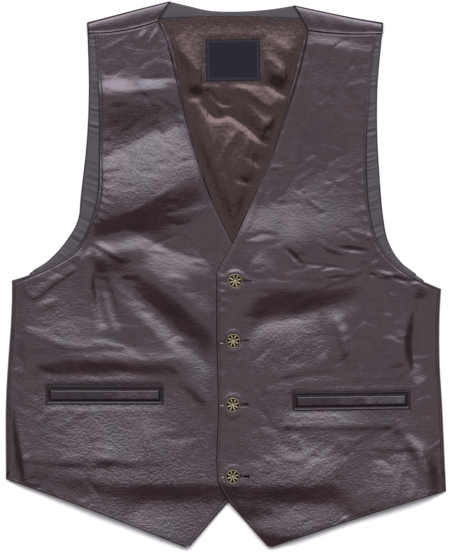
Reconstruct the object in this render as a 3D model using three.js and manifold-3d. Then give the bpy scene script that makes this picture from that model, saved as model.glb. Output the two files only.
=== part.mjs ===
// A man's four-button leather waistcoat, size M, lying on its back on a flat surface, face up.
// Units are millimetres. X runs to the wearer's left, Y up towards the neck, Z up from the surface.
// The origin is the middle of the whole outline, on the surface. Left and right are the wearer's.
import * as THREE from "three";
import Module from "manifold-3d";
import { mergeVertices } from "three/addons/utils/BufferGeometryUtils.js";

const wasm = await Module();
wasm.setup();

// Thicknesses and gaps
const leather = 2.0; // wall of the back
const frontWall = 2.2; // a front's leather with its turned edges
const facingWall = 1.0;
const liningWall = 1.2;
const labelWall = 0.7;
const seamGap = 0.3; // space between two pieces at a seam
const floorGap = 0.2; // under the fronts where they reach past the back

// Heights of the layers
const frontLift = leather + 0.4; // underside of a front where it lies straight on the back
const puffHeight = 3.0; // how far a front stands over the back, and the least that it has at the shoulder
const shoulderPuff = 2.4;
const lapRise = frontWall + 0.7; // rise of the left front where it laps over the right one
const facingBase = leather + seamGap;

// Side seams, by height: both halves, from the hem up to the armhole.
const sideSeams = [
  { y: -242, right: -272.8, left: 271.6 },
  { y: -160, right: -272.8, left: 267.8 },
  { y: -112, right: -270.3, left: 264.9 },
  { y: -60, right: -266.6, left: 264.5 },
  { y: -30, right: -265.4, left: 265.8 },
];
const armpit = { right: { x: -265.4, y: -7.4 }, left: { x: 266.6, y: -18 } };
const hemCorner = { right: { x: -272.8, y: -253.6 }, left: { x: 272.8, y: -268.5 } };

// Armholes, from the armpit up: the front is cut deeper than the back, whose edge shows outside it.
const armholes = {
  right: [
    { front: { x: -244.3, y: -0.6 }, back: { x: -251, y: -2.4 } },
    { front: { x: -209.6, y: 15.5 }, back: { x: -219.5, y: 18 } },
    { front: { x: -186, y: 31.6 }, back: { x: -197.2, y: 42.8 } },
    { front: { x: -169.9, y: 60.1 }, back: { x: -183.5, y: 67.6 } },
    { front: { x: -159.3, y: 96.1 }, back: { x: -179.8, y: 98.6 } },
    { front: { x: -157.3, y: 150 }, back: { x: -172.4, y: 166.8 } },
    { front: { x: -157.5, y: 216.4 }, back: { x: -169.9, y: 229 } },
    { front: { x: -163.7, y: 298.4 }, back: { x: -171.2, y: 299.5 } },
  ],
  left: [
    { front: { x: 241, y: -6.5 }, back: { x: 248, y: -9.2 } },
    { front: { x: 208.3, y: 15.5 }, back: { x: 214.5, y: 18 } },
    { front: { x: 187.2, y: 42.8 }, back: { x: 200.4, y: 42.8 } },
    { front: { x: 177.9, y: 77.5 }, back: { x: 194.4, y: 73.8 } },
    { front: { x: 174.2, y: 129.6 }, back: { x: 189.7, y: 129.6 } },
    { front: { x: 174.8, y: 175 }, back: { x: 187.2, y: 180 } },
    { front: { x: 179.8, y: 233.7 }, back: { x: 188, y: 240 } },
    { front: { x: 188, y: 297 }, back: { x: 194.2, y: 299 } },
  ],
};

// Neck edges of the two fronts, by height, from the top button up to the shoulder seam.
const neckEdges = [
  { y: 3, right: 25, left: -11.8 },
  { y: 20.5, right: 17, left: -2.5 },
  { y: 47, right: 4.2, left: 12 },
  { y: 89, right: -16, left: 31.1 },
  { y: 134.5, right: -33, left: 52.1 },
  { y: 184, right: -48, left: 69.9 },
  { y: 233.7, right: -59.5, left: 85.9 },
  { y: 266, right: -67, left: 94.5 },
  { y: 288, right: -73.7, left: 99.5 },
];

// Shoulders, from the armhole to the neck: the fold at the top, and the seam that lies down the front.
const shoulders = {
  right: [
    { fold: { x: -172.4, y: 312.5 }, seam: { x: -171.2, y: 299.5 } },
    { fold: { x: -142, y: 320.3 }, seam: { x: -146, y: 299.6 } },
    { fold: { x: -108, y: 329.2 }, seam: { x: -113, y: 305 } },
    { fold: { x: -69, y: 338.9 }, seam: { x: -84.3, y: 313.6 } },
  ],
  left: [
    { fold: { x: 194.7, y: 312.3 }, seam: { x: 194.2, y: 298.8 } },
    { fold: { x: 160, y: 318 }, seam: { x: 160, y: 297.6 } },
    { fold: { x: 122, y: 325.7 }, seam: { x: 127, y: 299 } },
    { fold: { x: 83.6, y: 333.9 }, seam: { x: 101.7, y: 302 } },
  ],
};
const neckline = [
  { x: -69, y: 338.9 },
  { x: -46, y: 333.4 },
  { x: -20, y: 327.8 },
  { x: 17, y: 326.8 },
  { x: 56, y: 329.6 },
  { x: 83.6, y: 333.9 },
];
const neckFacingFoot = [
  { x: -92, y: 316.6 },
  { x: 0, y: 319.8 },
  { x: 98, y: 316.8 },
];

// Points of the hem and the straight front edges, from the point up to the neck.
const frontEdges = {
  right: [
    { x: -47, y: -339.4 },
    { x: 0.5, y: -284.4 },
    { x: 22, y: -254 },
    { x: 26, y: -215 },
    { x: 26, y: -80 },
    { x: 25, y: 3 },
  ],
  left: [
    { x: 53.5, y: -339.4 },
    { x: 2.5, y: -281.5 },
    { x: -9.6, y: -258 },
    { x: -9.9, y: -160.6 },
    { x: -11.8, y: -77.5 },
    { x: -11.8, y: 3 },
  ],
};
const backHem = [
  { x: -267.2, y: -246 },
  { x: 0, y: -250 },
  { x: 267, y: -259 },
];
const hemBow = 1.6; // how far a front's slanting hem bows inwards in its middle
const tipRadius = 6; // of the hem's rounded points

// The largest folds of the two fronts, by the widths of their slopes: crests have a positive height.
const frontFolds = [
  { path: [[-161, 223], [-134, 224], [-112, 226]], north: 14, south: 36, height: 4 },
  { path: [[-160, 144], [-131, 156], [-100, 173], [-52, 194]], north: 32, south: 17, height: -4.2 },
  { path: [[-166, 69], [-134, 78], [-94, 95], [-60, 112], [-27, 132]], north: 50, south: 26, height: 7.4 },
  { path: [[-169, 39], [-124, 56], [-94, 44], [-67, 30], [-26, 16]], north: 20, south: 12, height: -1.9 },
  { path: [[-176, 20], [-161, 20], [-148, 14]], north: 8, south: 58, height: 2 },
  { path: [[-164, 18], [-159, -19], [-153, -59]], north: 6, south: 6, height: -2.8 },
  { path: [[-153, 1], [-144, -29], [-135, -59]], north: 6, south: 6, height: -2.4 },
  { path: [[-118, 18], [-76, -17], [-36, -51], [-11, -76]], north: 20, south: 17, height: 3.2 },
  { path: [[-135, -2], [-88, -45], [-45, -86], [-11, -118]], north: 12, south: 14, height: -2.1 },
  { path: [[-246, -85], [-206, -89], [-151, -89]], north: 30, south: 16, height: 2.6 },
  { path: [[-233, -111], [-156, -106], [-67, -111]], north: 12, south: 12, height: 2.6 },
  { path: [[-247, -257], [-259, -195], [-267, -147]], north: 4, south: 7, height: 2.2 },
  { path: [[-211, -242], [-124, -257], [-32, -257]], north: 66, south: 18, height: 4.6 },
  { path: [[-201, -297], [-124, -327], [-45, -356]], north: 48, south: 24, height: 7 },
  { path: [[50, 73], [60, 97], [87, 121], [126, 137], [161, 157]], north: 84, south: 22, height: -2.7 },
  { path: [[62, 38], [82, 34], [102, 35]], north: 34, south: 20, height: 2.6 },
  { path: [[92, 38], [135, 43], [184, 43]], north: 34, south: 24, height: 2.4 },
  { path: [[2, -56], [25, -32], [57, -14], [98, -17], [148, -9]], north: 34, south: 20, height: 2.8 },
  { path: [[-5, -96], [17, -79], [45, -59], [92, -50], [119, -42], [154, -33]], north: 20, south: 15, height: -3.2 },
  { path: [[150, -104], [145, -81], [138, -59]], north: 6, south: 8, height: 2 },
  { path: [[221, -121], [216, -87], [226, -59]], north: 14, south: 12, height: 2 },
  { path: [[237, -123], [233, -79], [241, -32]], north: 9, south: 10, height: -3.4 },
  { path: [[45, -257], [114, -252], [131, -237], [139, -220]], north: 46, south: 24, height: 4.2 },
  { path: [[156, -309], [216, -292], [265, -277]], north: 54, south: 30, height: 5 },
  { path: [[37, -314], [79, -323], [139, -307]], north: 40, south: 16, height: 6.4 },
];

// The crumpled folds of the satin back lining, inside the neck opening.
const liningFolds = [
  { path: [[-74, 292], [-50, 268], [-24, 241]], north: 9, south: 11, height: 2.6 },
  { path: [[-74, 296], [-63, 296], [-52, 302]], north: 8, south: 2.6, height: -2.2 },
  { path: [[-60, 219], [-45, 216], [-33, 218]], north: 8, south: 2.6, height: -2.6 },
  { path: [[-35, 218], [-26, 205], [-14, 193], [1, 195]], north: 10, south: 2.6, height: -2.8 },
  { path: [[2, 199], [24, 185], [46, 166], [61, 162]], north: 13, south: 3, height: -3 },
  { path: [[10, 236], [33, 223], [55, 208], [68, 214]], north: 10, south: 7, height: 2.8 },
  { path: [[79, 219], [67, 199], [46, 179], [48, 170], [68, 177]], north: 6, south: 7, height: 2.2 },
  { path: [[46, 266], [57, 265], [84, 234]], north: 7, south: 7, height: 2.4 },
  { path: [[50, 241], [67, 228], [84, 220]], north: 8, south: 3, height: -2.4 },
  { path: [[30, 142], [45, 133], [57, 132]], north: 9, south: 2.6, height: -2.4 },
];

const welts = {
  right: { x: -150.3, y: -149.4, turn: 0 },
  left: { x: 155.2, y: -156.4, turn: 0.015 },
};
const weltSize = { width: 146, height: 23.3, wall: 1.5, puff: 0.9 };
const labelSize = { x: 8.7, y: 265.5, width: 67, height: 52, turn: 0.015 };

// Buttons stand at the front-edge end of their buttonholes.
const buttonSpots = [
  { x: 11.3, y: -7.9 },
  { x: 8.9, y: -82.3 },
  { x: 8.4, y: -161.6 },
  { x: 8.4, y: -250.4 },
];
const buttonSize = { radius: 8.9, rim: 1.2, edge: 1.9, crown: 2.8, shank: 1.5, holes: 8, hole: 1.1 };
const buttonhole = { reach: 15, width: 1.4 };

const clamp = (t) => Math.min(1, Math.max(0, t));
const ease = (t) => clamp(t) ** 2 * (3 - 2 * clamp(t));
const mix = (a, b, t) => a + (b - a) * t;

// A smooth curve through a table's points, as a function of 0 to 1 along its length.
function curve(points) {
  const path = new THREE.CatmullRomCurve3(points.map(({ x, y }) => new THREE.Vector3(x, y, 0)), false, "centripetal");
  path.arcLengthDivisions = 400;
  return (t) => path.getPointAt(clamp(t));
}
const sample = (points, count) => Array.from({ length: count + 1 }, (_, i) => curve(points)(i / count));
const column = (rows, name) => rows.map((row) => (row[name].x === undefined ? { x: row[name], y: row.y } : row[name]));

const heightOn = (points, x) => {
  const k = x < points[1].x ? 0 : 1;
  return mix(points[k].y, points[k + 1].y, (x - points[k].x) / (points[k + 1].x - points[k].x));
};

// The seams and edges of the right and left halves.
const halves = Object.fromEntries(["right", "left"].map((half) => {
  const seam = column(shoulders[half], "seam");
  const neck = [...column(neckEdges, half), seam.at(-1)];
  const side = [hemCorner[half], ...column(sideSeams, half), armpit[half]];
  const arm = [armpit[half], ...column(armholes[half], "front")];
  const backArm = [armpit[half], ...column(armholes[half], "back")];
  return [half, {
    side, arm, neck, seam, backArm, edge: frontEdges[half], fold: column(shoulders[half], "fold"),
    near: { side: sample(side, 24), arm: sample(arm, 40), seam: sample(seam, 10), neck: sample(neck, 40) },
  }];
}));

// Where (x, y) lies beside a straight stretch: the share along it, how far to the left, and how far past its ends.
function reach(x, y, a, b) {
  const length = Math.hypot(b.x - a.x, b.y - a.y);
  const [ux, uy] = [(b.x - a.x) / length, (b.y - a.y) / length];
  const forward = (x - a.x) * ux + (y - a.y) * uy;
  const on = length * clamp(forward / length);
  const left = (y - a.y) * ux - (x - a.x) * uy;
  return { along: on / length, left, over: forward - on, distance: Math.hypot(left, forward - on) };
}
const distanceTo = (points, x, y) => Math.min(...points.slice(1).map((p, i) => reach(x, y, points[i], p).distance));
const crossing = (rows, name, y) => {
  const above = Math.max(1, rows.findIndex((row) => row.y > y));
  const [a, b] = rows.at(-1).y > y ? [rows[above - 1], rows[above]] : rows.slice(-2);
  return mix(a[name], b[name], (y - a.y) / (b.y - a.y));
};

// Height of the folds at (x, y). A fold runs along its path and is highest in its middle.
const drawn = (folds) => folds.map(({ path, ...rest }) => ({ ...rest, line: sample(path.map(([x, y]) => ({ x, y })), 6) }));
function relief(folds, x, y) {
  return folds.reduce((sum, { line, north, south, height }) => {
    const places = line.slice(1).map((b, i) => ({ i, ...reach(x, y, line[i], b) }));
    const { i, along, left, over } = places.reduce((best, place) => (place.distance < best.distance ? place : best));
    const swell = 0.45 + 0.55 * Math.sin((Math.PI * (i + along)) / places.length);
    const d = Math.hypot(left / (left > 0 ? north : south), over / ((north + south) / 2));
    return sum + height * swell * Math.exp(-(d ** 2));
  }, 0);
}
const [frontRelief, liningRelief] = [drawn(frontFolds), drawn(liningFolds)];

// 1 on a flat rectangular place, easing to 0 round it.
function onPlace({ x, y, width, height, margin }, px, py) {
  return ease((width / 2 + margin - Math.abs(px - x)) / margin) * ease((height / 2 + margin - Math.abs(py - y)) / margin);
}
const weltPlace = (half) => ({ ...welts[half], width: weltSize.width + 40, height: weltSize.height + 26, margin: 14 });

// Height of a front's underside.
const overFacing = facingBase + facingWall + seamGap;
const overLining = facingBase + liningWall + seamGap;
function frontFloor(x, y) {
  const half = x < 9 && !(y < -250 && x > 2) ? "right" : "left";
  const { near } = halves[half];
  const [toSide, toArm, toSeam] = [near.side, near.arm, near.seam].map((line) => distanceTo(line, x, y));
  const toNeck = Math.min(distanceTo(halves.right.near.neck, x, y), distanceTo(halves.left.near.neck, x, y));
  const lapped = ease((34 - Math.abs(x - 7)) / 16);
  const held = mix(1, 0.45, lapped) * mix(0.7, 1, ease(Math.min(toArm, toNeck) / 14)) * ease(toSeam / 16);
  const puff = mix(shoulderPuff, puffHeight, ease(toSeam / 100));
  const folds = ease(toSide / 28) * Math.max(0, puff + relief(frontRelief, x, y) * held);
  const bare = mix(frontLift + folds, frontLift + puffHeight, onPlace(weltPlace(half), x, y));
  const least = mix(frontLift, overFacing, ease((22 - toArm) / 6) * ease((toSide - 4) / 8));
  const z = Math.max(bare, least, mix(frontLift, overLining, ease((38 - toNeck) / 8)));
  const onBack = mix(z, floorGap, ease(1 - (toSide - 1.6) / 3));
  return Math.max(floorGap, onBack - tipDrop(x, y) * ease(toSide / 6));
}
// Past the back's hem the fronts sink to the surface, sooner in the middle than at the sides.
const tipDrop = (x, y) => {
  const length = mix(26, 120, ease((Math.abs(x - 20) - 110) / 90));
  return (frontLift - floorGap + 0.25 * puffHeight) * ease((heightOn(backHem, x) - 7 - y) / length);
};
const lapLift = (x, y) => lapRise * (1 - ease((x - 28) / 60)) * ease((y + 306) / 24) * ease((90 - y) / 45);

// A closed wall between two grids of points with the same rows and columns.
function wall(outer, inner) {
  const rows = outer.length;
  const columns = outer[0].length;
  const positions = [...outer.flat(), ...inner.flat()].flatMap((p) => [p.x, p.y, p.z]);
  const at = (layer, r, c) => layer * rows * columns + r * columns + c;
  const faces = [];
  const quad = (a, b, c, d) => faces.push(a, b, c, a, c, d);
  for (let r = 0; r < rows - 1; r++)
    for (let c = 0; c < columns - 1; c++) {
      quad(at(0, r, c), at(0, r, c + 1), at(0, r + 1, c + 1), at(0, r + 1, c));
      quad(at(1, r, c), at(1, r + 1, c), at(1, r + 1, c + 1), at(1, r, c + 1));
    }
  for (let c = 0; c < columns - 1; c++) {
    quad(at(0, 0, c), at(1, 0, c), at(1, 0, c + 1), at(0, 0, c + 1));
    quad(at(0, rows - 1, c + 1), at(1, rows - 1, c + 1), at(1, rows - 1, c), at(0, rows - 1, c));
  }
  for (let r = 0; r < rows - 1; r++) {
    quad(at(0, r + 1, 0), at(1, r + 1, 0), at(1, r, 0), at(0, r, 0));
    quad(at(0, r, columns - 1), at(1, r, columns - 1), at(1, r + 1, columns - 1), at(0, r + 1, columns - 1));
  }
  const geometry = new THREE.BufferGeometry();
  geometry.setAttribute("position", new THREE.Float32BufferAttribute(positions, 3));
  geometry.setIndex(faces);
  return volume(geometry) < 0 ? flipped(geometry) : geometry;
}

function volume(geometry) {
  const position = geometry.getAttribute("position");
  const index = geometry.index.array;
  const corner = (i) => new THREE.Vector3().fromBufferAttribute(position, index[i]);
  let sum = 0;
  for (let i = 0; i < index.length; i += 3) sum += corner(i).dot(corner(i + 1).cross(corner(i + 2))) / 6;
  return sum;
}

function flipped(geometry) {
  const index = geometry.index.array;
  for (let i = 0; i < index.length; i += 3) [index[i], index[i + 1]] = [index[i + 1], index[i]];
  return geometry;
}

function solid(geometry) {
  const bare = geometry.clone();
  bare.deleteAttribute("normal");
  bare.deleteAttribute("uv");
  const merged = mergeVertices(bare, 1e-4);
  return new wasm.Manifold(new wasm.Mesh({
    numProp: 3, vertProperties: merged.getAttribute("position").array, triVerts: new Uint32Array(merged.index.array),
  }));
}

function geometryOf(manifold) {
  const mesh = manifold.getMesh();
  const geometry = new THREE.BufferGeometry();
  geometry.setAttribute("position", new THREE.BufferAttribute(mesh.vertProperties, 3));
  geometry.setIndex(new THREE.BufferAttribute(mesh.triVerts, 1));
  return geometry;
}

// A wall whose underside lies at height(x, y) over a grid of plan points.
function sheet(plan, height, thickness) {
  const inner = plan.map((line) => line.map((p) => new THREE.Vector3(p.x, p.y, height(p.x, p.y))));
  return wall(inner.map((line) => line.map((p) => new THREE.Vector3(p.x, p.y, p.z + thickness))), inner);
}

// Plan of a front: rows from its side or armhole to its front edge, from the hem up to the shoulder seam.
const skirt = 0.2; // share of the side seam that lies beside the hem's point
const columnsAcross = 15;
const rolled = [0, 1.6, 5.2]; // columns close to an edge, where the leather rolls down
const spread = (count, last = 1) => Array.from({ length: count }, (_, i) => ((i + 1) / count) * last);

// Rounds off the hem's point: what lies in the corner's square moves onto a quarter circle.
function roundTip(p, [corner, tip], edge) {
  const inner = { x: tip.x, y: tip.y + 60 };
  const lines = [[corner, tip], [tip, edge[1]]].map(([a, b]) => {
    const { left } = reach(p.x, p.y, a, b);
    const facing = Math.sign(reach(inner.x, inner.y, a, b).left);
    const normal = new THREE.Vector3(a.y - b.y, b.x - a.x, 0).normalize().multiplyScalar(facing);
    return { normal, inside: tipRadius - left * facing };
  });
  const [hem, point] = lines;
  if (hem.inside <= 0 || point.inside <= 0) return p;
  const shrink = 1 - Math.max(hem.inside, point.inside) / Math.hypot(hem.inside, point.inside);
  return p.addScaledVector(hem.normal, shrink * hem.inside).addScaledVector(point.normal, shrink * point.inside);
}

function frontPlan({ side, arm, edge, neck, seam }) {
  const [sideAt, armAt, neckAt, seamAt] = [side, arm, neck, seam].map(curve);
  const [pointAt, edgeAt] = [curve(edge.slice(0, 2)), curve(edge.slice(1))];
  const bands = [
    { rows: [0, 0.05, 0.14, 0.28, 0.46, 0.64, 0.82, 1], outer: (t) => sideAt(t * skirt), inner: pointAt },
    { rows: spread(14), outer: (t) => sideAt(mix(skirt, 1, t)), inner: edgeAt },
    { rows: [...spread(17, 0.975), 1], outer: armAt, inner: neckAt },
  ];
  const hem = [sideAt(0), pointAt(0)];
  const armEnd = clamp((arm.at(-1).x - seam[0].x) / (seam.at(-1).x - seam[0].x));
  return bands.flatMap(({ rows, outer, inner }, band) => rows.map((t) => {
    const [a, b] = [outer(t), inner(t)];
    const length = a.distanceTo(b);
    const edges = rolled.map((d) => d / length);
    const shares = [...edges, ...spread(columnsAcross, 1 - 2 * edges[2]).map((u) => u + edges[2]), 1 - edges[1], 1];
    return shares.map((u) => {
      const p = a.clone().lerp(b, u);
      if (band === 0) return roundTip(p.setY(p.y + hemBow * 4 * u * (1 - u) * (1 - t)), hem, edge);
      return band === 1 ? p : p.lerp(new THREE.Vector3(p.x, seamAt(mix(armEnd, 1, u)).y - 2 * seamGap, 0), t ** 6);
    });
  }));
}

// A pocket welt lies on the flat place made for it in the front, a little swollen along its middle.
function pocketWelt(half) {
  const { x, y, turn } = welts[half];
  const base = frontLift + puffHeight + frontWall + seamGap;
  const [columns, rows] = [16, 6];
  const at = (u, v, z) => new THREE.Vector3((u - 0.5) * weltSize.width, (v - 0.5) * weltSize.height, z);
  const grid = (height) => Array.from({ length: rows + 1 }, (_, r) =>
    Array.from({ length: columns + 1 }, (_, c) => at(c / columns, r / rows, height(c / columns, r / rows))));
  const swell = (u, v) => weltSize.puff * (Math.sin(Math.PI * u) * Math.sin(Math.PI * v)) ** 0.5;
  return wall(grid((u, v) => base + weltSize.wall + swell(u, v)), grid(() => base)).rotateZ(turn).translate(x, y, 0);
}

// A buttonhole: a round eye for the shank and a slit away from the front edge.
function slot({ x, y }) {
  const eye = new THREE.CylinderGeometry(buttonSize.shank + 0.4, buttonSize.shank + 0.4, 40, 12).rotateX(Math.PI / 2);
  const slit = new THREE.BoxGeometry(buttonhole.reach, buttonhole.width, 40).translate(buttonhole.reach / 2 + 1, 0, 0);
  return solid(eye.translate(x, y, 10)).add(solid(slit.translate(x, y, 10)));
}

// A shank button: a domed disc with a rim, round hollows in a ring, and a shank through the buttonhole.
function button({ x, y }) {
  const { radius, rim, edge, crown, shank, holes, hole } = buttonSize;
  const around = Array.from({ length: holes }, (_, k) => ((k + 0.4) * 2 * Math.PI) / holes);
  const frontTop = (px, py) => frontFloor(px, py) + lapLift(px, py) + frontWall;
  const seat = seamGap + Math.max(...around.map((a) => frontTop(x + radius * Math.cos(a), y + radius * Math.sin(a))), frontTop(x, y));
  const foot = frontFloor(x, y) + frontWall + seamGap;
  const profile = [
    [0, foot], [shank, foot], [shank, seat], [radius - 1, seat], [radius, seat + 0.7], [radius, seat + edge],
    [radius - rim / 2, seat + edge + 0.5], [radius - rim, seat + edge + 0.2], [radius - rim - 0.4, seat + edge - 0.2],
    [radius * 0.45, seat + crown - 0.4], [0, seat + crown],
  ].map(([r, z]) => new THREE.Vector2(r, z));
  const body = solid(new THREE.LatheGeometry(profile, 24).rotateX(Math.PI / 2).translate(x, y, 0));
  const hollow = (a) => new THREE.CylinderGeometry(hole, hole, 4, 6).rotateX(Math.PI / 2)
    .translate(radius * 0.6, 0, seat + crown + 0.5).rotateZ(a).translate(x, y, 0);
  return geometryOf(around.reduce((left, a) => left.subtract(solid(hollow(a))), body));
}

// The part of the back that wraps round a shoulder fold, as a U section swept along the shoulder.
const bendRadius = 2.9;
const wrapStart = 13; // from the fold, where the wrap leaves the flat panel
const wrapJoin = 6; // from the fold, where the flat panel ends inside the wrap
function shoulderWrap({ fold, seam }) {
  const bend = [-90, -135, 180, 135, 90].map(THREE.MathUtils.degToRad);
  const foldTop = 2 * bendRadius;
  const seamTop = frontLift + shoulderPuff + frontWall;
  const topSide = [[0.3, foldTop + 0.7], [0.65, foldTop + 1.1], [0.92, seamTop + 0.3], [1, seamTop - 0.3]];
  const outer = [];
  const inner = [];
  const stations = 10;
  for (let i = 0; i <= stations; i++) {
    const [f, s] = [curve(fold)(i / stations), curve(seam)(i / stations)];
    const down = s.clone().sub(f).normalize();
    const centre = f.clone().addScaledVector(down, bendRadius);
    const start = f.clone().addScaledVector(down, wrapStart);
    const arc = (r) => bend.map((a) => centre.clone().addScaledVector(down, r * Math.cos(a)).setZ(bendRadius + r * Math.sin(a)));
    const top = (drop) => topSide.map(([u, z]) => centre.clone().lerp(s, u).setZ(z - drop));
    outer.push([start.clone().setZ(0), ...arc(bendRadius), ...top(0)]);
    inner.push([start.clone().setZ(leather), ...arc(bendRadius - leather), ...top(leather)]);
  }
  return wall(outer, inner);
}

// The back: a flat panel with a straight hem, which runs on round both shoulder folds.
const sideInset = 5.6; // the fronts roll down over the back's sides
function backPanel() {
  const outline = [];
  const add = (points) => outline.push(...points.map((p) => new THREE.Vector2(p.x, p.y)));
  const inset = (half, side) => [backHem.at(half === "right" ? 0 : -1), ...column(sideSeams, half).slice(1)
    .map(({ x, y }) => ({ x: x - side * sideInset, y }))];
  const belowFold = (half) => sample(halves[half].fold, 4).map((f, i) => {
    const s = sample(halves[half].seam, 4)[i];
    return f.clone().addScaledVector(s.sub(f).normalize(), wrapJoin);
  });
  const armTo = (half) => sample(halves[half].backArm.slice(1), 26);
  add([...inset("right", -1), ...armTo("right"), ...belowFold("right")]);
  add(sample(neckline, 18));
  add([...belowFold("left").reverse(), ...armTo("left").reverse(), ...inset("left", 1).reverse(), backHem[1]]);
  const slab = new THREE.ExtrudeGeometry(new THREE.Shape(outline), { depth: leather, bevelEnabled: false });
  return geometryOf(solid(slab).add(solid(shoulderWrap(halves.right))).add(solid(shoulderWrap(halves.left))));
}

// A flat strip between two curves, on the inside of the back.
function strip(outerEdge, innerEdge, count, across) {
  const [a, b] = [curve(outerEdge), curve(innerEdge)];
  const plan = [0, ...spread(count)].map((t) => [0, ...spread(across)].map((u) => a(t).lerp(b(t), u)));
  return sheet(plan, () => facingBase, facingWall);
}
const facingReach = 9; // how far the armhole facings go in under the fronts
function armholeFacing(half) {
  const inwards = half === "right" ? 1 : -1;
  const [first, second, ...rest] = armholes[half];
  const start = 0.35; // share of the first stretch that the facing leaves out
  const middle = (edge) => ({ x: mix(first[edge].x, second[edge].x, start), y: mix(first[edge].y, second[edge].y, start) });
  const rows = [{ front: middle("front"), back: middle("back") }, second, ...rest];
  const top = { y: shoulders[half][0].seam.y + 4 };
  const outer = rows.map(({ back }) => ({ x: back.x + inwards * 0.4, y: back.y }));
  const inner = rows.map(({ front }, i) => ({ x: front.x + inwards * facingReach, y: front.y - (i < 4 ? facingReach : 0) }));
  return strip([...outer.slice(0, -1), { ...outer.at(-1), ...top }], [...inner.slice(0, -1), { ...inner.at(-1), ...top }], 24, 2);
}

// How far (x, y) lies inside the neck opening.
function insideNeck(x, y) {
  if (x < crossing(neckEdges, "right", y) || x > crossing(neckEdges, "left", y)) return 0;
  return Math.min(distanceTo(halves.right.near.neck, x, y), distanceTo(halves.left.near.neck, x, y));
}
const liningPuff = 2.4; // how far the lining's loose middle stands off, and its flat place for the label
const labelRise = 1.6;
function liningBase(x, y) {
  const onLabel = onPlace({ ...labelSize, width: labelSize.width + 20, height: labelSize.height + 8, margin: 11 }, x, y);
  const free = ease((insideNeck(x, y) - 1) / 24) * ease((312 - y) / 16) * (1 - onLabel);
  return facingBase + Math.max(0, relief(liningRelief, x, y) + liningPuff) * free + labelRise * onLabel;
}
const underFront = 16; // how far the lining goes on under the fronts
function liningPlan() {
  const edge = (half, side) => curve([...column(neckEdges, half).slice(2), { x: halves[half].neck.at(-1).x, y: 312 }]
    .map(({ x, y }, i) => ({ x: x + side * (underFront + (i ? 0 : 10)), y: i ? y : y - 26 })));
  const [right, left, foot] = [edge("right", -1), edge("left", 1), curve(neckFacingFoot)];
  const [rows, columns] = [24, 14];
  return [0, ...spread(rows)].map((v) => [0, ...spread(columns)].map((u) => {
    const p = right(v).lerp(left(v), u);
    const along = (p.x - neckFacingFoot[0].x) / (neckFacingFoot.at(-1).x - neckFacingFoot[0].x);
    return p.setY(mix(p.y, foot(along).y - 2 * seamGap, v ** 8));
  }));
}
function label() {
  const { x, y, width, height, turn } = labelSize;
  const top = facingBase + liningWall + labelRise + seamGap;
  const plan = [0, ...spread(6)].map((v) => [0, ...spread(8)].map((u) =>
    new THREE.Vector3((u - 0.5) * width, (v - 0.5) * height, 0).applyAxisAngle(new THREE.Vector3(0, 0, 1), turn)
      .add(new THREE.Vector3(x, y, 0))));
  return sheet(plan, () => top, labelWall);
}

const brown = new THREE.MeshStandardMaterial({ color: 0x4a3536, roughness: 0.42, metalness: 0 });
const darkFacing = new THREE.MeshStandardMaterial({ color: 0x4b444b, roughness: 0.55, metalness: 0 });
const satin = new THREE.MeshStandardMaterial({ color: 0x6d5850, roughness: 0.35, metalness: 0 });
const wovenBlack = new THREE.MeshStandardMaterial({ color: 0x23242e, roughness: 0.7, metalness: 0 });
const brass = new THREE.MeshStandardMaterial({ color: 0xa08f62, roughness: 0.35, metalness: 1 });

const waistcoat = new THREE.Group();
function piece(name, geometry, material) {
  const mesh = new THREE.Mesh(geometry, material);
  mesh.name = name;
  waistcoat.add(mesh);
}

piece("back", backPanel(), brown);
piece("neck_facing", strip(neckline.map(({ x, y }) => ({ x, y: y - 1 })), neckFacingFoot, 20, 2), darkFacing);
piece("back_lining", sheet(liningPlan(), liningBase, liningWall), satin);
piece("neck_label", label(), wovenBlack);
piece("front_right", sheet(frontPlan(halves.right), frontFloor, frontWall), brown);
const lapped = solid(sheet(frontPlan(halves.left), (x, y) => frontFloor(x, y) + lapLift(x, y), frontWall));
piece("front_left", geometryOf(buttonSpots.map(slot).reduce((front, cut) => front.subtract(cut), lapped)), brown);
for (const half of ["right", "left"]) {
  piece(`armhole_facing_${half}`, armholeFacing(half), darkFacing);
  piece(`pocket_welt_${half}`, pocketWelt(half), brown);
}
buttonSpots.forEach((spot, i) => piece(`button_${i + 1}`, button(spot), brass));

export default waistcoat;
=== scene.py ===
# A man's leather waistcoat, size M, lying face up: its looks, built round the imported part.
import math

import bpy
import numpy as np
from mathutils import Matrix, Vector


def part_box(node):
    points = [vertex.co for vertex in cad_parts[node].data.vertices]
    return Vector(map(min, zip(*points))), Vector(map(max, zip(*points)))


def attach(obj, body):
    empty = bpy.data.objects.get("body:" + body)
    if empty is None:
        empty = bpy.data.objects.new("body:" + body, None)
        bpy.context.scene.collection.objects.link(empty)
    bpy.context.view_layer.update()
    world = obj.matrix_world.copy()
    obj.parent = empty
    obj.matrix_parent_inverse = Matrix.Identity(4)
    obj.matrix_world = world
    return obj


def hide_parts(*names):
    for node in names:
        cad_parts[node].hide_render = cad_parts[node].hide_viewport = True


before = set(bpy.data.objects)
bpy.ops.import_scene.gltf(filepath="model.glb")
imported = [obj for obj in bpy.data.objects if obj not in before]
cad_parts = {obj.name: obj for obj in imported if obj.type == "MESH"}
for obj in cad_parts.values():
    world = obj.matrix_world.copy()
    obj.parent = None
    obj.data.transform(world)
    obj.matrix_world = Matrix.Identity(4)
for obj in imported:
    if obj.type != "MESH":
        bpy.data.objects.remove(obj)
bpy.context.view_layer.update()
mm = 0.001
print("frame loaded")

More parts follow.
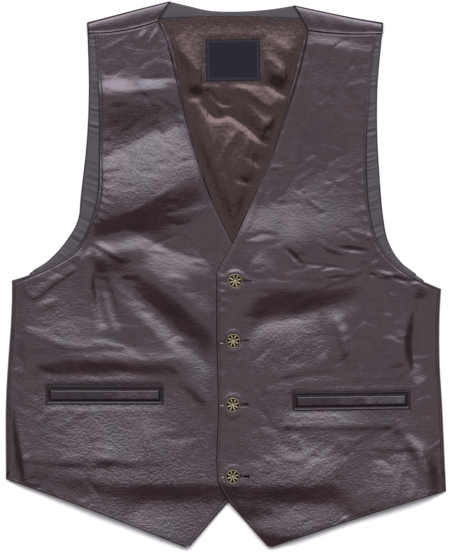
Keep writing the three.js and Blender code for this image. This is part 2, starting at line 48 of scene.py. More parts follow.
# Seams and edges in millimetres, as the part has them. Left and right are the wearer's.
sideSeams = {  # from the hem up to the armpit
    "right": [(-272.8, -253.6), (-272.8, -242), (-272.8, -160), (-270.3, -112), (-266.6, -60), (-265.4, -30),
              (-265.4, -7.4)],
    "left": [(272.8, -268.5), (271.6, -242), (267.8, -160), (264.9, -112), (264.5, -60), (265.8, -30),
             (266.6, -18)],
}
frontArmholes = {
    "right": [(-265.4, -7.4), (-244.3, -0.6), (-209.6, 15.5), (-186, 31.6), (-169.9, 60.1), (-159.3, 96.1),
              (-157.3, 150), (-157.5, 216.4), (-163.7, 298.4)],
    "left": [(266.6, -18), (241, -6.5), (208.3, 15.5), (187.2, 42.8), (177.9, 77.5), (174.2, 129.6),
             (174.8, 175), (179.8, 233.7), (188, 297)],
}
backArmholes = {
    "right": [(-265.4, -7.4), (-251, -2.4), (-219.5, 18), (-197.2, 42.8), (-183.5, 67.6), (-179.8, 98.6),
              (-172.4, 166.8), (-169.9, 229), (-171.2, 299.5)],
    "left": [(266.6, -18), (248, -9.2), (214.5, 18), (200.4, 42.8), (194.4, 73.8), (189.7, 129.6),
             (187.2, 180), (188, 240), (194.2, 299)],
}
shoulderFolds = {  # from the armhole to the neck
    "right": [(-172.4, 312.5), (-142, 320.3), (-108, 329.2), (-69, 338.9)],
    "left": [(194.7, 312.3), (160, 318), (122, 325.7), (83.6, 333.9)],
}
shoulderSeams = {
    "right": [(-171.2, 299.5), (-146, 299.6), (-113, 305), (-84.3, 313.6)],
    "left": [(194.2, 298.8), (160, 297.6), (127, 299), (101.7, 302)],
}
neckEdges = {  # from the top button up to the shoulder seam
    "right": [(25, 3), (17, 20.5), (4.2, 47), (-16, 89), (-33, 134.5), (-48, 184), (-59.5, 233.7), (-67, 266),
              (-73.7, 288), (-84.3, 313.6)],
    "left": [(-11.8, 3), (-2.5, 20.5), (12, 47), (31.1, 89), (52.1, 134.5), (69.9, 184), (85.9, 233.7),
             (94.5, 266), (99.5, 288), (101.7, 302)],
}
frontEdges = {  # the hem's point, the lower corner and the straight edge
    "right": [(-47, -339.4), (0.5, -284.4), (22, -254), (26, -215), (26, -80), (25, 3)],
    "left": [(53.5, -339.4), (2.5, -281.5), (-9.6, -258), (-9.9, -160.6), (-11.8, -77.5), (-11.8, 3)],
}
neckline = [(-69, 338.9), (-46, 333.4), (-20, 327.8), (17, 326.8), (56, 329.6), (83.6, 333.9)]
neckFacingFoot = [(-92, 316.6), (0, 319.8), (98, 316.8)]
backHem = [(-267.2, -246), (0, -250), (267, -259)]
hemBow = 1.6  # how far the fronts' slanting hems bow inwards
tipRadius = 6  # of the hem's rounded points

# Thicknesses and heights of the layers in millimetres, as the part has them.
layers = {
    "leather": 2.0, "frontWall": 2.2, "facingWall": 1.0, "liningWall": 1.2, "labelWall": 0.7, "seamGap": 0.3,
    "floorGap": 0.2, "frontLift": 2.4, "puff": 3.0, "shoulderPuff": 2.4, "lapRise": 2.9,
}
facingBase = layers["leather"] + layers["seamGap"]


def ease(t):
    t = np.clip(t, 0, 1)
    return t * t * (3 - 2 * t)


def mix(a, b, t):
    return a + (b - a) * t


def resample(points, count):
    lengths = np.concatenate([[0], np.cumsum(np.linalg.norm(np.diff(points, axis=0), axis=1))])
    even = np.linspace(0, lengths[-1], count + 1)
    return np.stack([np.interp(even, lengths, points[:, k]) for k in range(points.shape[1])], axis=1)


# A smooth curve through a short list of points, as count even steps.
def smoothCurve(points, count=160):
    p = [np.array(q, float) for q in points]
    p = [2 * p[0] - p[1], *p, 2 * p[-1] - p[-2]]
    dense = []
    for a, b, c, d in zip(p, p[1:], p[2:], p[3:]):
        pairs = ((a, b), (b, c), (c, d))
        k = np.cumsum([0, *(math.sqrt(max(1e-9, np.linalg.norm(v - u))) for u, v in pairs)])
        t = np.linspace(k[1], k[2], 16, endpoint=False)[:, None]
        ab = ((k[1] - t) * a + (t - k[0]) * b) / (k[1] - k[0])
        bc = ((k[2] - t) * b + (t - k[1]) * c) / (k[2] - k[1])
        cd = ((k[3] - t) * c + (t - k[2]) * d) / (k[3] - k[2])
        abc = ((k[2] - t) * ab + (t - k[0]) * bc) / (k[2] - k[0])
        bcd = ((k[3] - t) * bc + (t - k[1]) * cd) / (k[3] - k[1])
        dense.append(((k[2] - t) * abc + (t - k[1]) * bcd) / (k[2] - k[1]))
    return resample(np.concatenate([*dense, [p[-2]]]), count)


def onCurve(curve, t):
    share = np.linspace(0, 1, len(curve))
    return np.stack([np.interp(t, share, curve[:, 0]), np.interp(t, share, curve[:, 1])], axis=-1)


# Nearest place on a path: distance, how far to the left of it, how far past its ends, and the share along it.
def nearest(path, x, y):
    steps = np.diff(path, axis=0)
    lengths = np.maximum(np.linalg.norm(steps, axis=1), 1e-9)
    before = np.concatenate([[0], np.cumsum(lengths)])
    best = np.full(np.shape(x), np.inf)
    across = np.zeros(np.shape(x))
    over = np.zeros(np.shape(x))
    along = np.zeros(np.shape(x))
    for k, ((ax, ay), step, length) in enumerate(zip(path, steps, lengths)):
        ux, uy = step / length
        s = (x - ax) * ux + (y - ay) * uy
        c = np.clip(s, 0, length)
        left = (y - ay) * ux - (x - ax) * uy
        square = (s - c) ** 2 + left**2
        closer = square < best
        best = np.where(closer, square, best)
        across = np.where(closer, left, across)
        over = np.where(closer, s - c, over)
        along = np.where(closer, before[k] + c, along)
    return np.sqrt(best), across, over, along / before[-1]


# Soft ridges (or troughs, with a negative height) along short paths, each side with its own width.
def ridges(table, x, y):
    z = np.zeros(np.shape(x))
    for row in table:
        path = smoothCurve(row["path"], 10 if len(row["path"]) > 2 else 2)
        widest = 3 * max(row["left"], row["right"], row["ends"])
        low, high = path.min(axis=0) - widest, path.max(axis=0) + widest
        near = (x > low[0]) & (x < high[0]) & (y > low[1]) & (y < high[1])
        if not near.any():
            continue
        _, across, over, along = nearest(path, x[near], y[near])
        width = np.where(across > 0, row["left"], row["right"])
        d = np.sqrt((across / width) ** 2 + (over / row["ends"]) ** 2)
        swell = 0.45 + 0.55 * np.sin(np.pi * along)
        z[near] += row["height"] * swell * np.exp(-(d ** row["power"]))
    return z


def fold(path, left, right, height, power=2, ends=None):
    return {"path": path, "left": left, "right": right, "height": height, "power": power,
            "ends": ends or (left + right) / 2}


# The large folds of the fronts. Each crest (or valley, where the height is negative) runs along its path,
# and left and right are the widths of its two slopes, as seen along the path.
frontFolds = [
    fold([(-161, 223), (-134, 224), (-112, 226)], 14, 36, 4.0),
    fold([(-117, 226), (-82, 229), (-52, 231)], 5.5, 36, 1.3),
    fold([(-160, 144), (-131, 156), (-100, 173), (-52, 194)], 32, 17, -4.2, 1.5),
    fold([(-166, 69), (-134, 78), (-94, 95), (-60, 112), (-27, 132)], 50, 26, 7.4),
    fold([(-82, 71), (-45, 78), (-15, 85)], 3, 14, 0.9, 1.6),
    fold([(-169, 39), (-124, 56), (-94, 44), (-67, 30), (-26, 16)], 20, 12, -1.9, 1.5),
    fold([(-164, 28), (-134, 27), (-104, 32)], 12, 12, 1.6),
    fold([(-72, 8), (-45, -2), (-17, -7)], 26, 30, 1.6),
    fold([(-176, 20), (-161, 20), (-148, 14)], 8, 58, 2.0, 2, 11),
    fold([(-164, 18), (-159, -19), (-153, -59)], 6, 6, -2.8),
    fold([(-153, 1), (-144, -29), (-135, -59)], 6, 6, -2.4),
    fold([(-118, 18), (-76, -17), (-36, -51), (-11, -76)], 20, 17, 3.2),
    fold([(-135, -2), (-88, -45), (-45, -86), (-11, -118)], 12, 14, -2.1, 1.6),
    fold([(-126, -32), (-89, -76), (-37, -123)], 12, 30, 1.4),
    fold([(-246, -85), (-206, -89), (-151, -89)], 30, 16, 2.6),
    fold([(-233, -111), (-156, -106), (-67, -111)], 12, 12, 2.6),
    fold([(-55, -128), (-35, -147), (-15, -170)], 14, 6, 1.4),
    fold([(-247, -257), (-259, -195), (-267, -147)], 4, 7, 2.2),
    fold([(-231, -230), (-169, -234), (-94, -232)], 46, 5, 1.4),
    fold([(-154, -229), (-141, -229)], 13, 6, 1.4),
    fold([(-94, -224), (-99, -187)], 8, 10, 1.2),
    fold([(-211, -242), (-124, -257), (-32, -257)], 66, 18, 4.6),
    fold([(-201, -297), (-124, -327), (-45, -356)], 48, 24, 7.0),
    fold([(92, 288), (123, 285), (169, 268)], 12, 11, 1.1),
    fold([(50, 73), (60, 97), (87, 121), (126, 137), (161, 157)], 84, 34, -2.4, 1.6),
    fold([(62, 38), (82, 34), (102, 35)], 34, 20, 2.6),
    fold([(92, 38), (135, 43), (184, 43)], 34, 24, 2.4),
    fold([(25, 8), (57, 8)], 18, 10, 1.0),
    fold([(92, 8), (148, 6)], 12, 16, 0.8),
    fold([(2, -56), (25, -32), (57, -14), (98, -17), (148, -9)], 34, 20, 2.8),
    fold([(-5, -96), (17, -79), (45, -59), (92, -50), (119, -42), (154, -33)], 20, 15, -3.2, 1.5),
    fold([(27, -158), (73, -136), (124, -120)], 40, 20, 0.6),
    fold([(150, -104), (145, -81), (138, -59)], 6, 8, 2.0),
    fold([(119, -96), (118, -54)], 6, 7, -1.4),
    fold([(221, -121), (216, -87), (226, -59)], 14, 12, 2.0),
    fold([(237, -123), (233, -79), (241, -32)], 9, 10, -3.4),
    fold([(52, -138), (77, -130), (123, -123), (149, -130)], 6, 6, -0.8, 1.6),
    fold([(40, -185), (79, -193), (119, -197)], 28, 16, 0.8),
    fold([(-5, -193), (45, -194), (79, -200)], 8, 6, -0.4),
    fold([(37, -262), (87, -261), (144, -256)], 30, 12, 1.0),
    fold([(45, -257), (114, -252), (131, -237), (139, -220)], 52, 24, 5.2),
    fold([(186, -220), (246, -213)], 10, 10, -0.4),
    fold([(156, -309), (216, -292), (265, -277)], 54, 30, 5.0),
    fold([(37, -314), (79, -323), (139, -307)], 40, 16, 6.4),
    fold([(265, -267), (242, -224), (213, -193)], 7, 9, 1.4),
    fold([(248, -252), (228, -205)], 5, 6, 1.0),
    fold([(181, -215), (197, -216), (246, -215)], 8, 3, 0.7),
]

# Smaller creases, most of them narrow troughs.
frontCreases = [
    fold([(-104, 242), (-72, 244)], 2.4, 3, -1.0),
    fold([(-107, 291), (-99, 303)], 4, 4, 1.0),
    fold([(-94, 286), (-84, 306)], 3, 4, 0.8),
    fold([(-166, 40), (-146, 28), (-131, 18)], 5, 2.6, 0.9),
    fold([(-252, -19), (-238, -29), (-218, -14), (-188, 6)], 9, 2.4, 1.0),
    fold([(-243, -73), (-197, -90), (-131, -89)], 8, 2.4, 0.6),
    fold([(-193, -239), (-162, -234), (-115, -240)], 3, 2.4, -0.5),
    fold([(-231, -42), (-211, -32)], 5, 6, 0.9),
    fold([(-169, -255), (-156, -275)], 3, 4, -0.9),
    fold([(-206, -168), (-208, -220)], 3, 4, 0.5),
    fold([(-165, -170), (-166, -205)], 3, 4, 0.7),
    fold([(74, 32), (92, 14)], 2.4, 3, -1.2),
    fold([(92, 14), (148, 8)], 2.2, 3, -0.5),
    fold([(141, 33), (174, 29)], 2.2, 3, -0.8),
    fold([(27, -1), (89, -8), (123, -11)], 1.8, 2.4, -0.5),
    fold([(67, -128), (123, -121)], 7, 2.2, 0.5),
    fold([(133, -133), (203, -127)], 7, 2.2, 0.4),
    fold([(21, -133), (45, -168), (76, -216)], 2.2, 3, -0.6),
    fold([(30, -131), (45, -146), (55, -168)], 2, 3, -0.5),
    fold([(-1, -192), (61, -198)], 6, 2.4, 0.6),
    fold([(36, -106), (55, -87)], 2.4, 3, -0.8),
    fold([(61, -224), (88, -232), (123, -209)], 6, 2.4, 0.4),
    fold([(139, -190), (138, -208), (114, -230), (89, -255)], 8, 2.4, 0.4),
    fold([(167, 11), (169, -61)], 1.8, 1.8, -0.5),
    fold([(57, 133), (76, 133)], 2.2, 2.6, 0.8),
    fold([(52, 122), (72, 120)], 2.2, 2.6, -0.7),
    fold([(22, -100), (10, -121)], 3, 3, 0.6),
    fold([(55, 142), (69, 163)], 2.4, 3, 0.5),
    fold([(223, -224), (211, -280)], 2.4, 3, 0.7),
    fold([(243, -218), (231, -280)], 2.4, 3, 0.7),
]

# Folds of the crumpled satin inside the neck: soft crests, and deep tucks that end in a sharp lip.
liningFolds = [
    fold([(-74, 292), (-50, 268), (-24, 241)], 9, 11, 1.7, 1.5),
    fold([(-74, 296), (-63, 296), (-52, 302)], 8, 3, -1.2, 1.5),
    fold([(-67, 234), (-45, 234), (-25, 236)], 12, 8, 1.2, 1.8),
    fold([(-62, 222), (-45, 219), (-33, 220)], 10, 4, -2.0, 1.6),
    fold([(-35, 218), (-26, 205), (-14, 193), (1, 195)], 13, 3.7, -1.8, 1.6),
    fold([(2, 197), (24, 183), (46, 164), (61, 160)], 12, 3.7, -1.8, 1.6),
    fold([(22, 212), (42, 192), (58, 182)], 8, 10, 1.1, 1.7),
    fold([(10, 236), (33, 223), (55, 208), (68, 214)], 10, 8, 1.6, 1.5),
    fold([(79, 219), (67, 199), (46, 179), (48, 170), (68, 177)], 6, 7, 1.4, 1.5),
    fold([(46, 266), (57, 265), (84, 234)], 7, 8, 1.5, 1.5),
    fold([(48, 238), (67, 224), (84, 216)], 10, 4.2, -2.0, 1.6),
    fold([(52, 256), (70, 244), (84, 236)], 7, 9, 1.4, 1.7),
    fold([(57, 293), (72, 281), (84, 259)], 8, 9, 1.0, 1.6),
    fold([(30, 144), (45, 134), (57, 132)], 10, 4.2, -2.0, 1.6),
    fold([(15, 117), (30, 112), (45, 113)], 6, 3, -1.2, 1.6),
    fold([(-30, 167), (-17, 132), (-7, 97)], 8, 9, 1.2, 1.8),
    fold([(4, 167), (7, 132), (10, 92)], 9, 8, 1.4, 1.8),
    fold([(19, 105), (15, 80), (12, 60)], 6, 6, 1.0, 1.8),
    fold([(-45, 194), (-35, 172), (-30, 152)], 7, 8, 1.0, 1.7),
    fold([(-21, 226), (-5, 211), (7, 211)], 6, 3, -1.0, 1.6),
    fold([(-12, 232), (-10, 216), (-4, 200)], 4, 4, 0.8, 1.6),
    fold([(14, 178), (2, 160), (-8, 134)], 5, 5, 0.7, 1.7),
    fold([(-22, 186), (-16, 166), (-20, 142)], 5, 4, 0.7, 1.7),
    fold([(28, 165), (22, 140), (24, 118)], 5, 5, 0.7, 1.7),
    fold([(-2, 122), (2, 98), (6, 74)], 4, 4, 0.6, 1.8),
]

welts = {
    "right": {"x": -150.3, "y": -149.4, "turn": 0.0},
    "left": {"x": 155.2, "y": -156.4, "turn": 0.015},
}
weltSize = {
    "width": 146, "height": 23.3, "wall": 1.5, "puff": 1.5, "lip": 0.45, "lipAt": 2.0, "lipWidth": 2.2,
    "grooveAt": 4.1, "grooveWidth": 1.3, "grooveDepth": 1.0, "binding": 1.9,
}
labelSize = {"x": 8.7, "y": 265.5, "width": 67, "height": 52, "turn": 0.015, "border": 4.2}
buttonSpots = [(11.3, -7.9), (8.9, -82.3), (8.4, -161.6), (8.4, -250.4)]
buttonSize = {
    "radius": 8.9, "rim": 0.7, "plate": 0.9, "boss": 1.7, "shank": 1.5, "height": 2.8,
    "rays": 8, "rayAt": 4.1, "rayWidth": 0.85, "bulb": 1.3, "bulbAt": 5.9,
}

# The stays behind the pockets show through the leather as low steps.
stayRidges = {
    "right": [fold([(-224, -131), (-77, -131)], 4, 3, 0.7)],
    "left": [
        fold([(74, -187), (110, -189), (238, -187)], 10, 2.8, 0.8, ends=5),
        fold([(71.5, -188), (79.5, -188)], 32, 2.6, 0.8, ends=5),
        fold([(238, -186), (238, -150)], 3, 4, 0.7),
    ],
}


def hemCurve(side):
    start, end = np.array(sideSeams[side][0]), np.array(frontEdges[side][0])
    return np.array([mix(start, end, u) + [0, hemBow * 4 * u * (1 - u)] for u in np.linspace(0, 1, 9)])


seam = {side: {
    "side": smoothCurve(sideSeams[side]), "arm": smoothCurve(frontArmholes[side]),
    "neck": smoothCurve(neckEdges[side]), "backArm": smoothCurve(backArmholes[side]),
    "shoulder": smoothCurve(shoulderSeams[side]), "fold": smoothCurve(shoulderFolds[side]),
    "point": smoothCurve(frontEdges[side][:2]), "edge": smoothCurve(frontEdges[side][1:]),
    "hem": hemCurve(side),
} for side in ("right", "left")}

# Creases too many to place one by one: short, shallow and seeded, thickest where the leather is worked most.
wrinkleFields = {
    "right": [
        {"x": (-262, -20), "y": (-300, -130), "angle": 4, "spread": 26, "count": 90,
         "length": (8, 34), "depth": (0.14, 0.42)},
        {"x": (-262, -24), "y": (-128, 60), "angle": -24, "spread": 26, "count": 90,
         "length": (8, 32), "depth": (0.14, 0.45)},
        {"x": (-156, -48), "y": (60, 290), "angle": 2, "spread": 22, "count": 90,
         "length": (8, 34), "depth": (0.14, 0.42)},
    ],
    "left": [
        {"x": (30, 262), "y": (-310, -180), "angle": 8, "spread": 34, "count": 90,
         "length": (8, 36), "depth": (0.16, 0.5)},
        {"x": (20, 262), "y": (-178, 50), "angle": 6, "spread": 28, "count": 110,
         "length": (8, 36), "depth": (0.16, 0.5)},
        {"x": (36, 178), "y": (50, 290), "angle": 16, "spread": 30, "count": 80,
         "length": (8, 32), "depth": (0.12, 0.36)},
    ],
}


def scatteredWrinkles(fields, seed):
    rng = np.random.default_rng(seed)
    rows = []
    for field in fields:
        for _ in range(field["count"]):
            x, y = rng.uniform(*field["x"]), rng.uniform(*field["y"])
            angle = math.radians(field["angle"] + rng.normal(0, field["spread"]))
            half = rng.uniform(*field["length"]) / 2
            bow = rng.uniform(-0.22, 0.22) * half
            dx, dy = math.cos(angle), math.sin(angle)
            path = [(x - half * dx, y - half * dy), (x - bow * dy, y + bow * dx),
                    (x + half * dx, y + half * dy)]
            depth = rng.uniform(*field["depth"]) * rng.choice([-1, 1], p=[0.6, 0.4])
            rows.append(fold(path, rng.uniform(1.6, 3.6), rng.uniform(1.6, 3.6), depth))
    return rows


# Short puckers that leave an edge at right angles, as where a seam was eased in. Start and end are shares of
# the edge's length, and inwards is 1 where the front lies to the left of its edge.
puckers = {
    "right": [
        {"along": "arm", "start": 0.36, "end": 0.66, "spacing": 8.5, "length": (10, 26), "height": 0.9,
         "inwards": -1, "seed": 3},
    ],
    "left": [
        {"along": "edge", "start": 0.82, "end": 0.99, "spacing": 7, "length": (9, 14), "height": 1.0,
         "inwards": -1, "seed": 5},
        {"along": "edge", "start": 0.1, "end": 0.8, "spacing": 21, "length": (6, 11), "height": 0.5,
         "inwards": -1, "seed": 6},
        {"along": "arm", "start": 0.3, "end": 0.6, "spacing": 16, "length": (8, 18), "height": 0.5,
         "inwards": 1, "seed": 7},
    ],
}


def edgePuckers(side, row):
    rng = np.random.default_rng(row["seed"])
    curve = seam[side][row["along"]]
    total = np.linalg.norm(np.diff(curve, axis=0), axis=1).sum()
    folds, s = [], row["start"] * total
    while s < row["end"] * total:
        p, q = onCurve(curve, s / total), onCurve(curve, min(1, s / total + 0.004))
        ux, uy = (q - p) / max(1e-9, np.linalg.norm(q - p))
        nx, ny = -uy * row["inwards"], ux * row["inwards"]
        reach, tilt = rng.uniform(*row["length"]), rng.uniform(-0.35, 0.15)
        foot = tuple(p + np.array([nx, ny]) * 1.5)
        tip = (p[0] + (nx + tilt * ux) * reach, p[1] + (ny + tilt * uy) * reach)
        widths = rng.uniform(1.3, 2.2), rng.uniform(1.6, 2.6)
        folds.append(fold([foot, tip], *widths, rng.uniform(0.5, 1.0) * row["height"]))
        s += rng.uniform(0.75, 1.3) * row["spacing"]
    return folds


# Where the finish is crazed and grainy from handling: middle, radius and how much more than elsewhere.
crazedAreas = [
    {"x": -107, "y": 142, "radius": 62, "more": 0.8},
    {"x": -144, "y": -205, "radius": 90, "more": 0.9},
    {"x": -94, "y": -304, "radius": 50, "more": 0.7},
    {"x": -206, "y": -44, "radius": 42, "more": 0.4},
    {"x": 79, "y": -81, "radius": 50, "more": 0.5},
    {"x": 92, "y": -225, "radius": 64, "more": 0.6},
    {"x": 92, "y": -298, "radius": 50, "more": 0.6},
    {"x": 216, "y": -242, "radius": 50, "more": 0.4},
    {"x": -84, "y": -270, "radius": 34, "more": 0.7},
    {"x": -30, "y": -270, "radius": 30, "more": 0.9},
    {"x": 46, "y": -270, "radius": 30, "more": 0.8},
    {"x": 112, "y": -268, "radius": 34, "more": 0.5},
]


def crazing(x, y):
    areas = (area["more"] * np.exp(-((x - area["x"]) ** 2 + (y - area["y"]) ** 2) / area["radius"] ** 2)
             for area in crazedAreas)
    return np.clip(0.25 + sum(areas), 0, 1)


# The leather stands up round the top of each button, and lower and wider below it, in arcs by their angles.
pinchArcs = [
    {"radius": 10.6, "angles": (165, 125, 90, 55, 15), "left": 2.4, "right": 1.5, "height": 1.1},
    {"radius": 13, "angles": (215, 240, 270, 300, 325), "left": 6, "right": 3, "height": 0.7},
]


def pinched(spots):
    rows = []
    for x, y in spots:
        for arc in pinchArcs:
            path = [(x + arc["radius"] * math.cos(math.radians(angle)),
                     y + arc["radius"] * math.sin(math.radians(angle))) for angle in arc["angles"]]
            rows.append(fold(path, arc["left"], arc["right"], arc["height"], ends=4))
    return rows


smallFolds = {
    side: scatteredWrinkles(wrinkleFields[side], seed) + pinched(spots)
    + [row for line in puckers[side] for row in edgePuckers(side, line)]
    for side, seed, spots in (("right", 11, []), ("left", 12, buttonSpots))
}


# How much a place is on a turned rectangle, fading over a margin, and how far outside it the place lies.
def onPlace(place, x, y, width, height, margin):
    c, s = math.cos(place["turn"]), math.sin(place["turn"])
    px = c * (x - place["x"]) + s * (y - place["y"])
    py = c * (y - place["y"]) - s * (x - place["x"])
    outside = np.hypot(np.maximum(np.abs(px) - width / 2, 0), np.maximum(np.abs(py) - height / 2, 0))
    return ease(1 - outside / margin), outside


# Past the back's hem the fronts sink to the surface, sooner in the middle than at the sides.
hemDrop = {"startsBelow": 8, "middleX": 20, "middleHalf": 110, "change": 90, "middle": 26, "sides": 120}


def tipDrop(x, y):
    hemY = np.interp(x, [p[0] for p in backHem], [p[1] for p in backHem])
    towardsSide = ease((np.abs(x - hemDrop["middleX"]) - hemDrop["middleHalf"]) / hemDrop["change"])
    length = mix(hemDrop["middle"], hemDrop["sides"], towardsSide)
    drop = layers["frontLift"] - layers["floorGap"] + 0.25 * layers["puff"]
    return drop * ease((hemY - hemDrop["startsBelow"] - y) / length)


def toNeckEdge(x, y):
    return np.minimum(*(nearest(seam[side]["neck"][::4], x, y)[0] for side in ("right", "left")))


# Height of the underside of a front that lies straight on the back.
def frontUnderside(x, y, small):
    z = np.zeros(np.shape(x))
    toNeck = toNeckEdge(x, y)
    onRight = (x < 9) & ~((y < -250) & (x > 2))
    lapped = ease((34 - np.abs(x - 7)) / 16)
    big = ridges(frontFolds, x, y) + ridges(frontCreases, x, y)
    overFacing = facingBase + layers["facingWall"] + layers["seamGap"]
    overLining = facingBase + layers["liningWall"] + layers["seamGap"]
    for side, mine in (("right", onRight), ("left", ~onRight)):
        if not mine.any():
            continue
        a, b = x[mine], y[mine]
        toSide = nearest(seam[side]["side"][::8], a, b)[0]
        toArm = nearest(seam[side]["arm"][::4], a, b)[0]
        toSeam = nearest(seam[side]["shoulder"][::16], a, b)[0]
        # Folds are lower under the lap and near the edges, and end at the shoulder seam.
        nearEdge = mix(0.7, 1, ease(np.minimum(toArm, toNeck[mine]) / 14))
        held = mix(1, 0.45, lapped[mine]) * nearEdge * ease(toSeam / 16)
        puff = mix(layers["shoulderPuff"], layers["puff"], ease(toSeam / 100))
        under = layers["frontLift"] + ease(toSide / 28) * np.maximum(0, puff + big[mine] * held)
        # Flat under the welt, with a lip round it that is highest above it.
        flat, outside = onPlace(welts[side], a, b, weltSize["width"] + 1.4, weltSize["height"] + 1.4, 7)
        above = ease((b - welts[side]["y"] - 4) / 8)
        fromLip = (outside - weltSize["lipAt"]) / weltSize["lipWidth"]
        lip = weltSize["lip"] * np.exp(-(fromLip**2)) * (0.2 + 0.8 * above)
        under = mix(under, layers["frontLift"] + layers["puff"], flat) + lip * (outside > 0)
        under = under + ridges(stayRidges[side], a, b) * ease(outside / 2)
        room = ease(np.minimum(np.minimum(toSide, toArm), toSeam) / 5) * (1 - flat)
        under = under + np.maximum(small[mine], -(under - layers["frontLift"])) * room
        # It clears the armhole strip and the lining, and meets the surface along the side.
        least = mix(layers["frontLift"], overFacing, ease((22 - toArm) / 6) * ease((toSide - 4) / 8))
        least = np.maximum(least, mix(layers["frontLift"], overLining, ease((38 - toNeck[mine]) / 8)))
        under = np.maximum(under, least)
        onBack = mix(under, layers["floorGap"], ease(1 - (toSide - 1.6) / 3))
        z[mine] = np.maximum(layers["floorGap"], onBack - tipDrop(a, b) * ease(toSide / 6))
    return z


# The left front rises where it laps over the right one.
lap = {"fullTo": 28, "fade": 60, "lowEnd": -306, "lowFade": 24, "highEnd": 90, "highFade": 45}


def lapLift(x, y):
    across = 1 - ease((x - lap["fullTo"]) / lap["fade"])
    return (layers["lapRise"] * across * ease((y - lap["lowEnd"]) / lap["lowFade"])
            * ease((lap["highEnd"] - y) / lap["highFade"]))


# A mesh object from its points, in metres, and its faces.
def makePiece(name, points, faces):
    mesh = bpy.data.meshes.new(name)
    mesh.from_pydata(points, [], faces)
    mesh.validate()
    mesh.update()
    piece = bpy.data.objects.new(name, mesh)
    bpy.context.scene.collection.objects.link(piece)
    mesh.polygons.foreach_set("use_smooth", [True] * len(mesh.polygons))
    return piece


def gridFaces(rows, columns, first=0, turned=False):
    r, c = np.meshgrid(np.arange(rows - 1), np.arange(columns - 1), indexing="ij")
    a = (first + r * columns + c).ravel()
    quads = np.stack([a, a + 1, a + columns + 1, a + columns], axis=1)
    return quads[:, ::-1] if turned else quads


# A closed sheet: a top and an underside of the same grid, joined all round. Each mark becomes an attribute of
# its points, which its material reads.
def clothSheet(name, plan, under, thickness, **marks):
    rows, columns = plan.shape[:2]
    top = np.concatenate([plan, (under + thickness)[..., None]], axis=2).reshape(-1, 3)
    bottom = np.concatenate([plan, under[..., None]], axis=2).reshape(-1, 3)
    count = rows * columns
    ring = [*range(columns), *(columns * (r + 1) - 1 for r in range(1, rows)),
            *(count - 1 - c for c in range(1, columns)), *(columns * r for r in range(rows - 2, 0, -1))]
    rim = [(a, a + count, b + count, b) for a, b in zip(ring, ring[1:] + ring[:1])]
    turned = np.cross(plan[0, 1] - plan[0, 0], plan[1, 0] - plan[0, 0]) < 0
    if turned:
        rim = [face[::-1] for face in rim]
    faces = [*gridFaces(rows, columns, 0, turned).tolist(),
             *gridFaces(rows, columns, count, not turned).tolist(), *rim]
    piece = makePiece(name, (np.concatenate([top, bottom]) * mm).tolist(), faces)
    for mark, values in marks.items():
        attribute = piece.data.attributes.new(mark, "FLOAT", "POINT")
        attribute.data.foreach_set("value", np.tile(values.ravel(), 2).astype(np.float32))
    return piece


def selectOnly(*pieces):
    bpy.ops.object.select_all(action="DESELECT")
    for piece in pieces:
        piece.select_set(True)
    bpy.context.view_layer.objects.active = pieces[0]


# Column places across a piece: close together at its rolled and stitched edges, even between.
edgeSteps = [0, 0.35, 0.8, 1.4, 2.1, 2.8, 3.3, 3.7, 4.1, 4.6, 5.4, 6.6]


def spread(length, count, fromStart=True, fromEnd=True):
    start = edgeSteps if fromStart else [0]
    end = edgeSteps if fromEnd else [0]
    middle = np.linspace(start[-1], length - end[-1], count + 2)[1:-1]
    return np.concatenate([start, middle, length - np.array(end[::-1])]) / length


# The thickness of a wall whose edges are rounded.
def roundedWall(wall, toEdge, radius=1.3):
    return wall * np.sqrt(np.clip(1 - (1 - np.clip(toEdge / radius, 0, 1)) ** 2, 0.02, 1))


# The grid of a front: bands of rows between a stretch of an outer curve and the whole of an inner one.
def frontPlan(side):
    s = seam[side]
    bands = [
        {"rows": spread(54, 16, True, False), "outer": "side", "stretch": (0, 0.2), "inner": "point"},
        {"rows": np.linspace(0, 1, 90)[1:], "outer": "side", "stretch": (0.2, 1), "inner": "edge"},
        {"rows": spread(330, 128, False, True)[1:], "outer": "arm", "stretch": (0, 1), "inner": "neck"},
    ]
    ends = s["shoulder"]
    armEnd = np.clip((s["arm"][-1, 0] - ends[0, 0]) / (ends[-1, 0] - ends[0, 0]), 0, 1)
    lines = []
    for band in bands:
        for t in band["rows"]:
            a, b = onCurve(s[band["outer"]], mix(*band["stretch"], t)), onCurve(s[band["inner"]], t)
            u = spread(np.linalg.norm(b - a), 96)[:, None]
            line = mix(a, b, u)
            if band["inner"] == "point":
                line[:, 1] += hemBow * 4 * u[:, 0] * (1 - u[:, 0]) * (1 - t)
            if band["inner"] == "neck":
                target = onCurve(ends, mix(armEnd, 1, u[:, 0]))[:, 1] - 0.6
                line[:, 1] = mix(line[:, 1], target, t**6)
            lines.append(line)
    return roundTip(np.array(lines), s["hem"], s["point"])


# Rounds off the hem's point: what lies in the corner's square moves onto a quarter circle.
def roundTip(plan, hem, point):
    x, y = plan[..., 0], plan[..., 1]
    offsets = []
    for path in (hem[-2:], point[[0, -1]]):
        unit = (path[1] - path[0]) / np.linalg.norm(path[1] - path[0])
        normal = np.array([-unit[1], unit[0]])
        distance = (x - path[0][0]) * normal[0] + (y - path[0][1]) * normal[1]
        if np.median(distance) < 0:
            normal, distance = -normal, -distance
        offsets.append((normal, tipRadius - distance))
    (n1, v1), (n2, v2) = offsets
    near = (v1 > 0) & (v2 > 0)
    shrink = np.where(near, 1 - np.maximum(v1, v2) / np.maximum(1e-9, np.hypot(v1, v2)), 0)
    return plan + (shrink * v1)[..., None] * n1 + (shrink * v2)[..., None] * n2


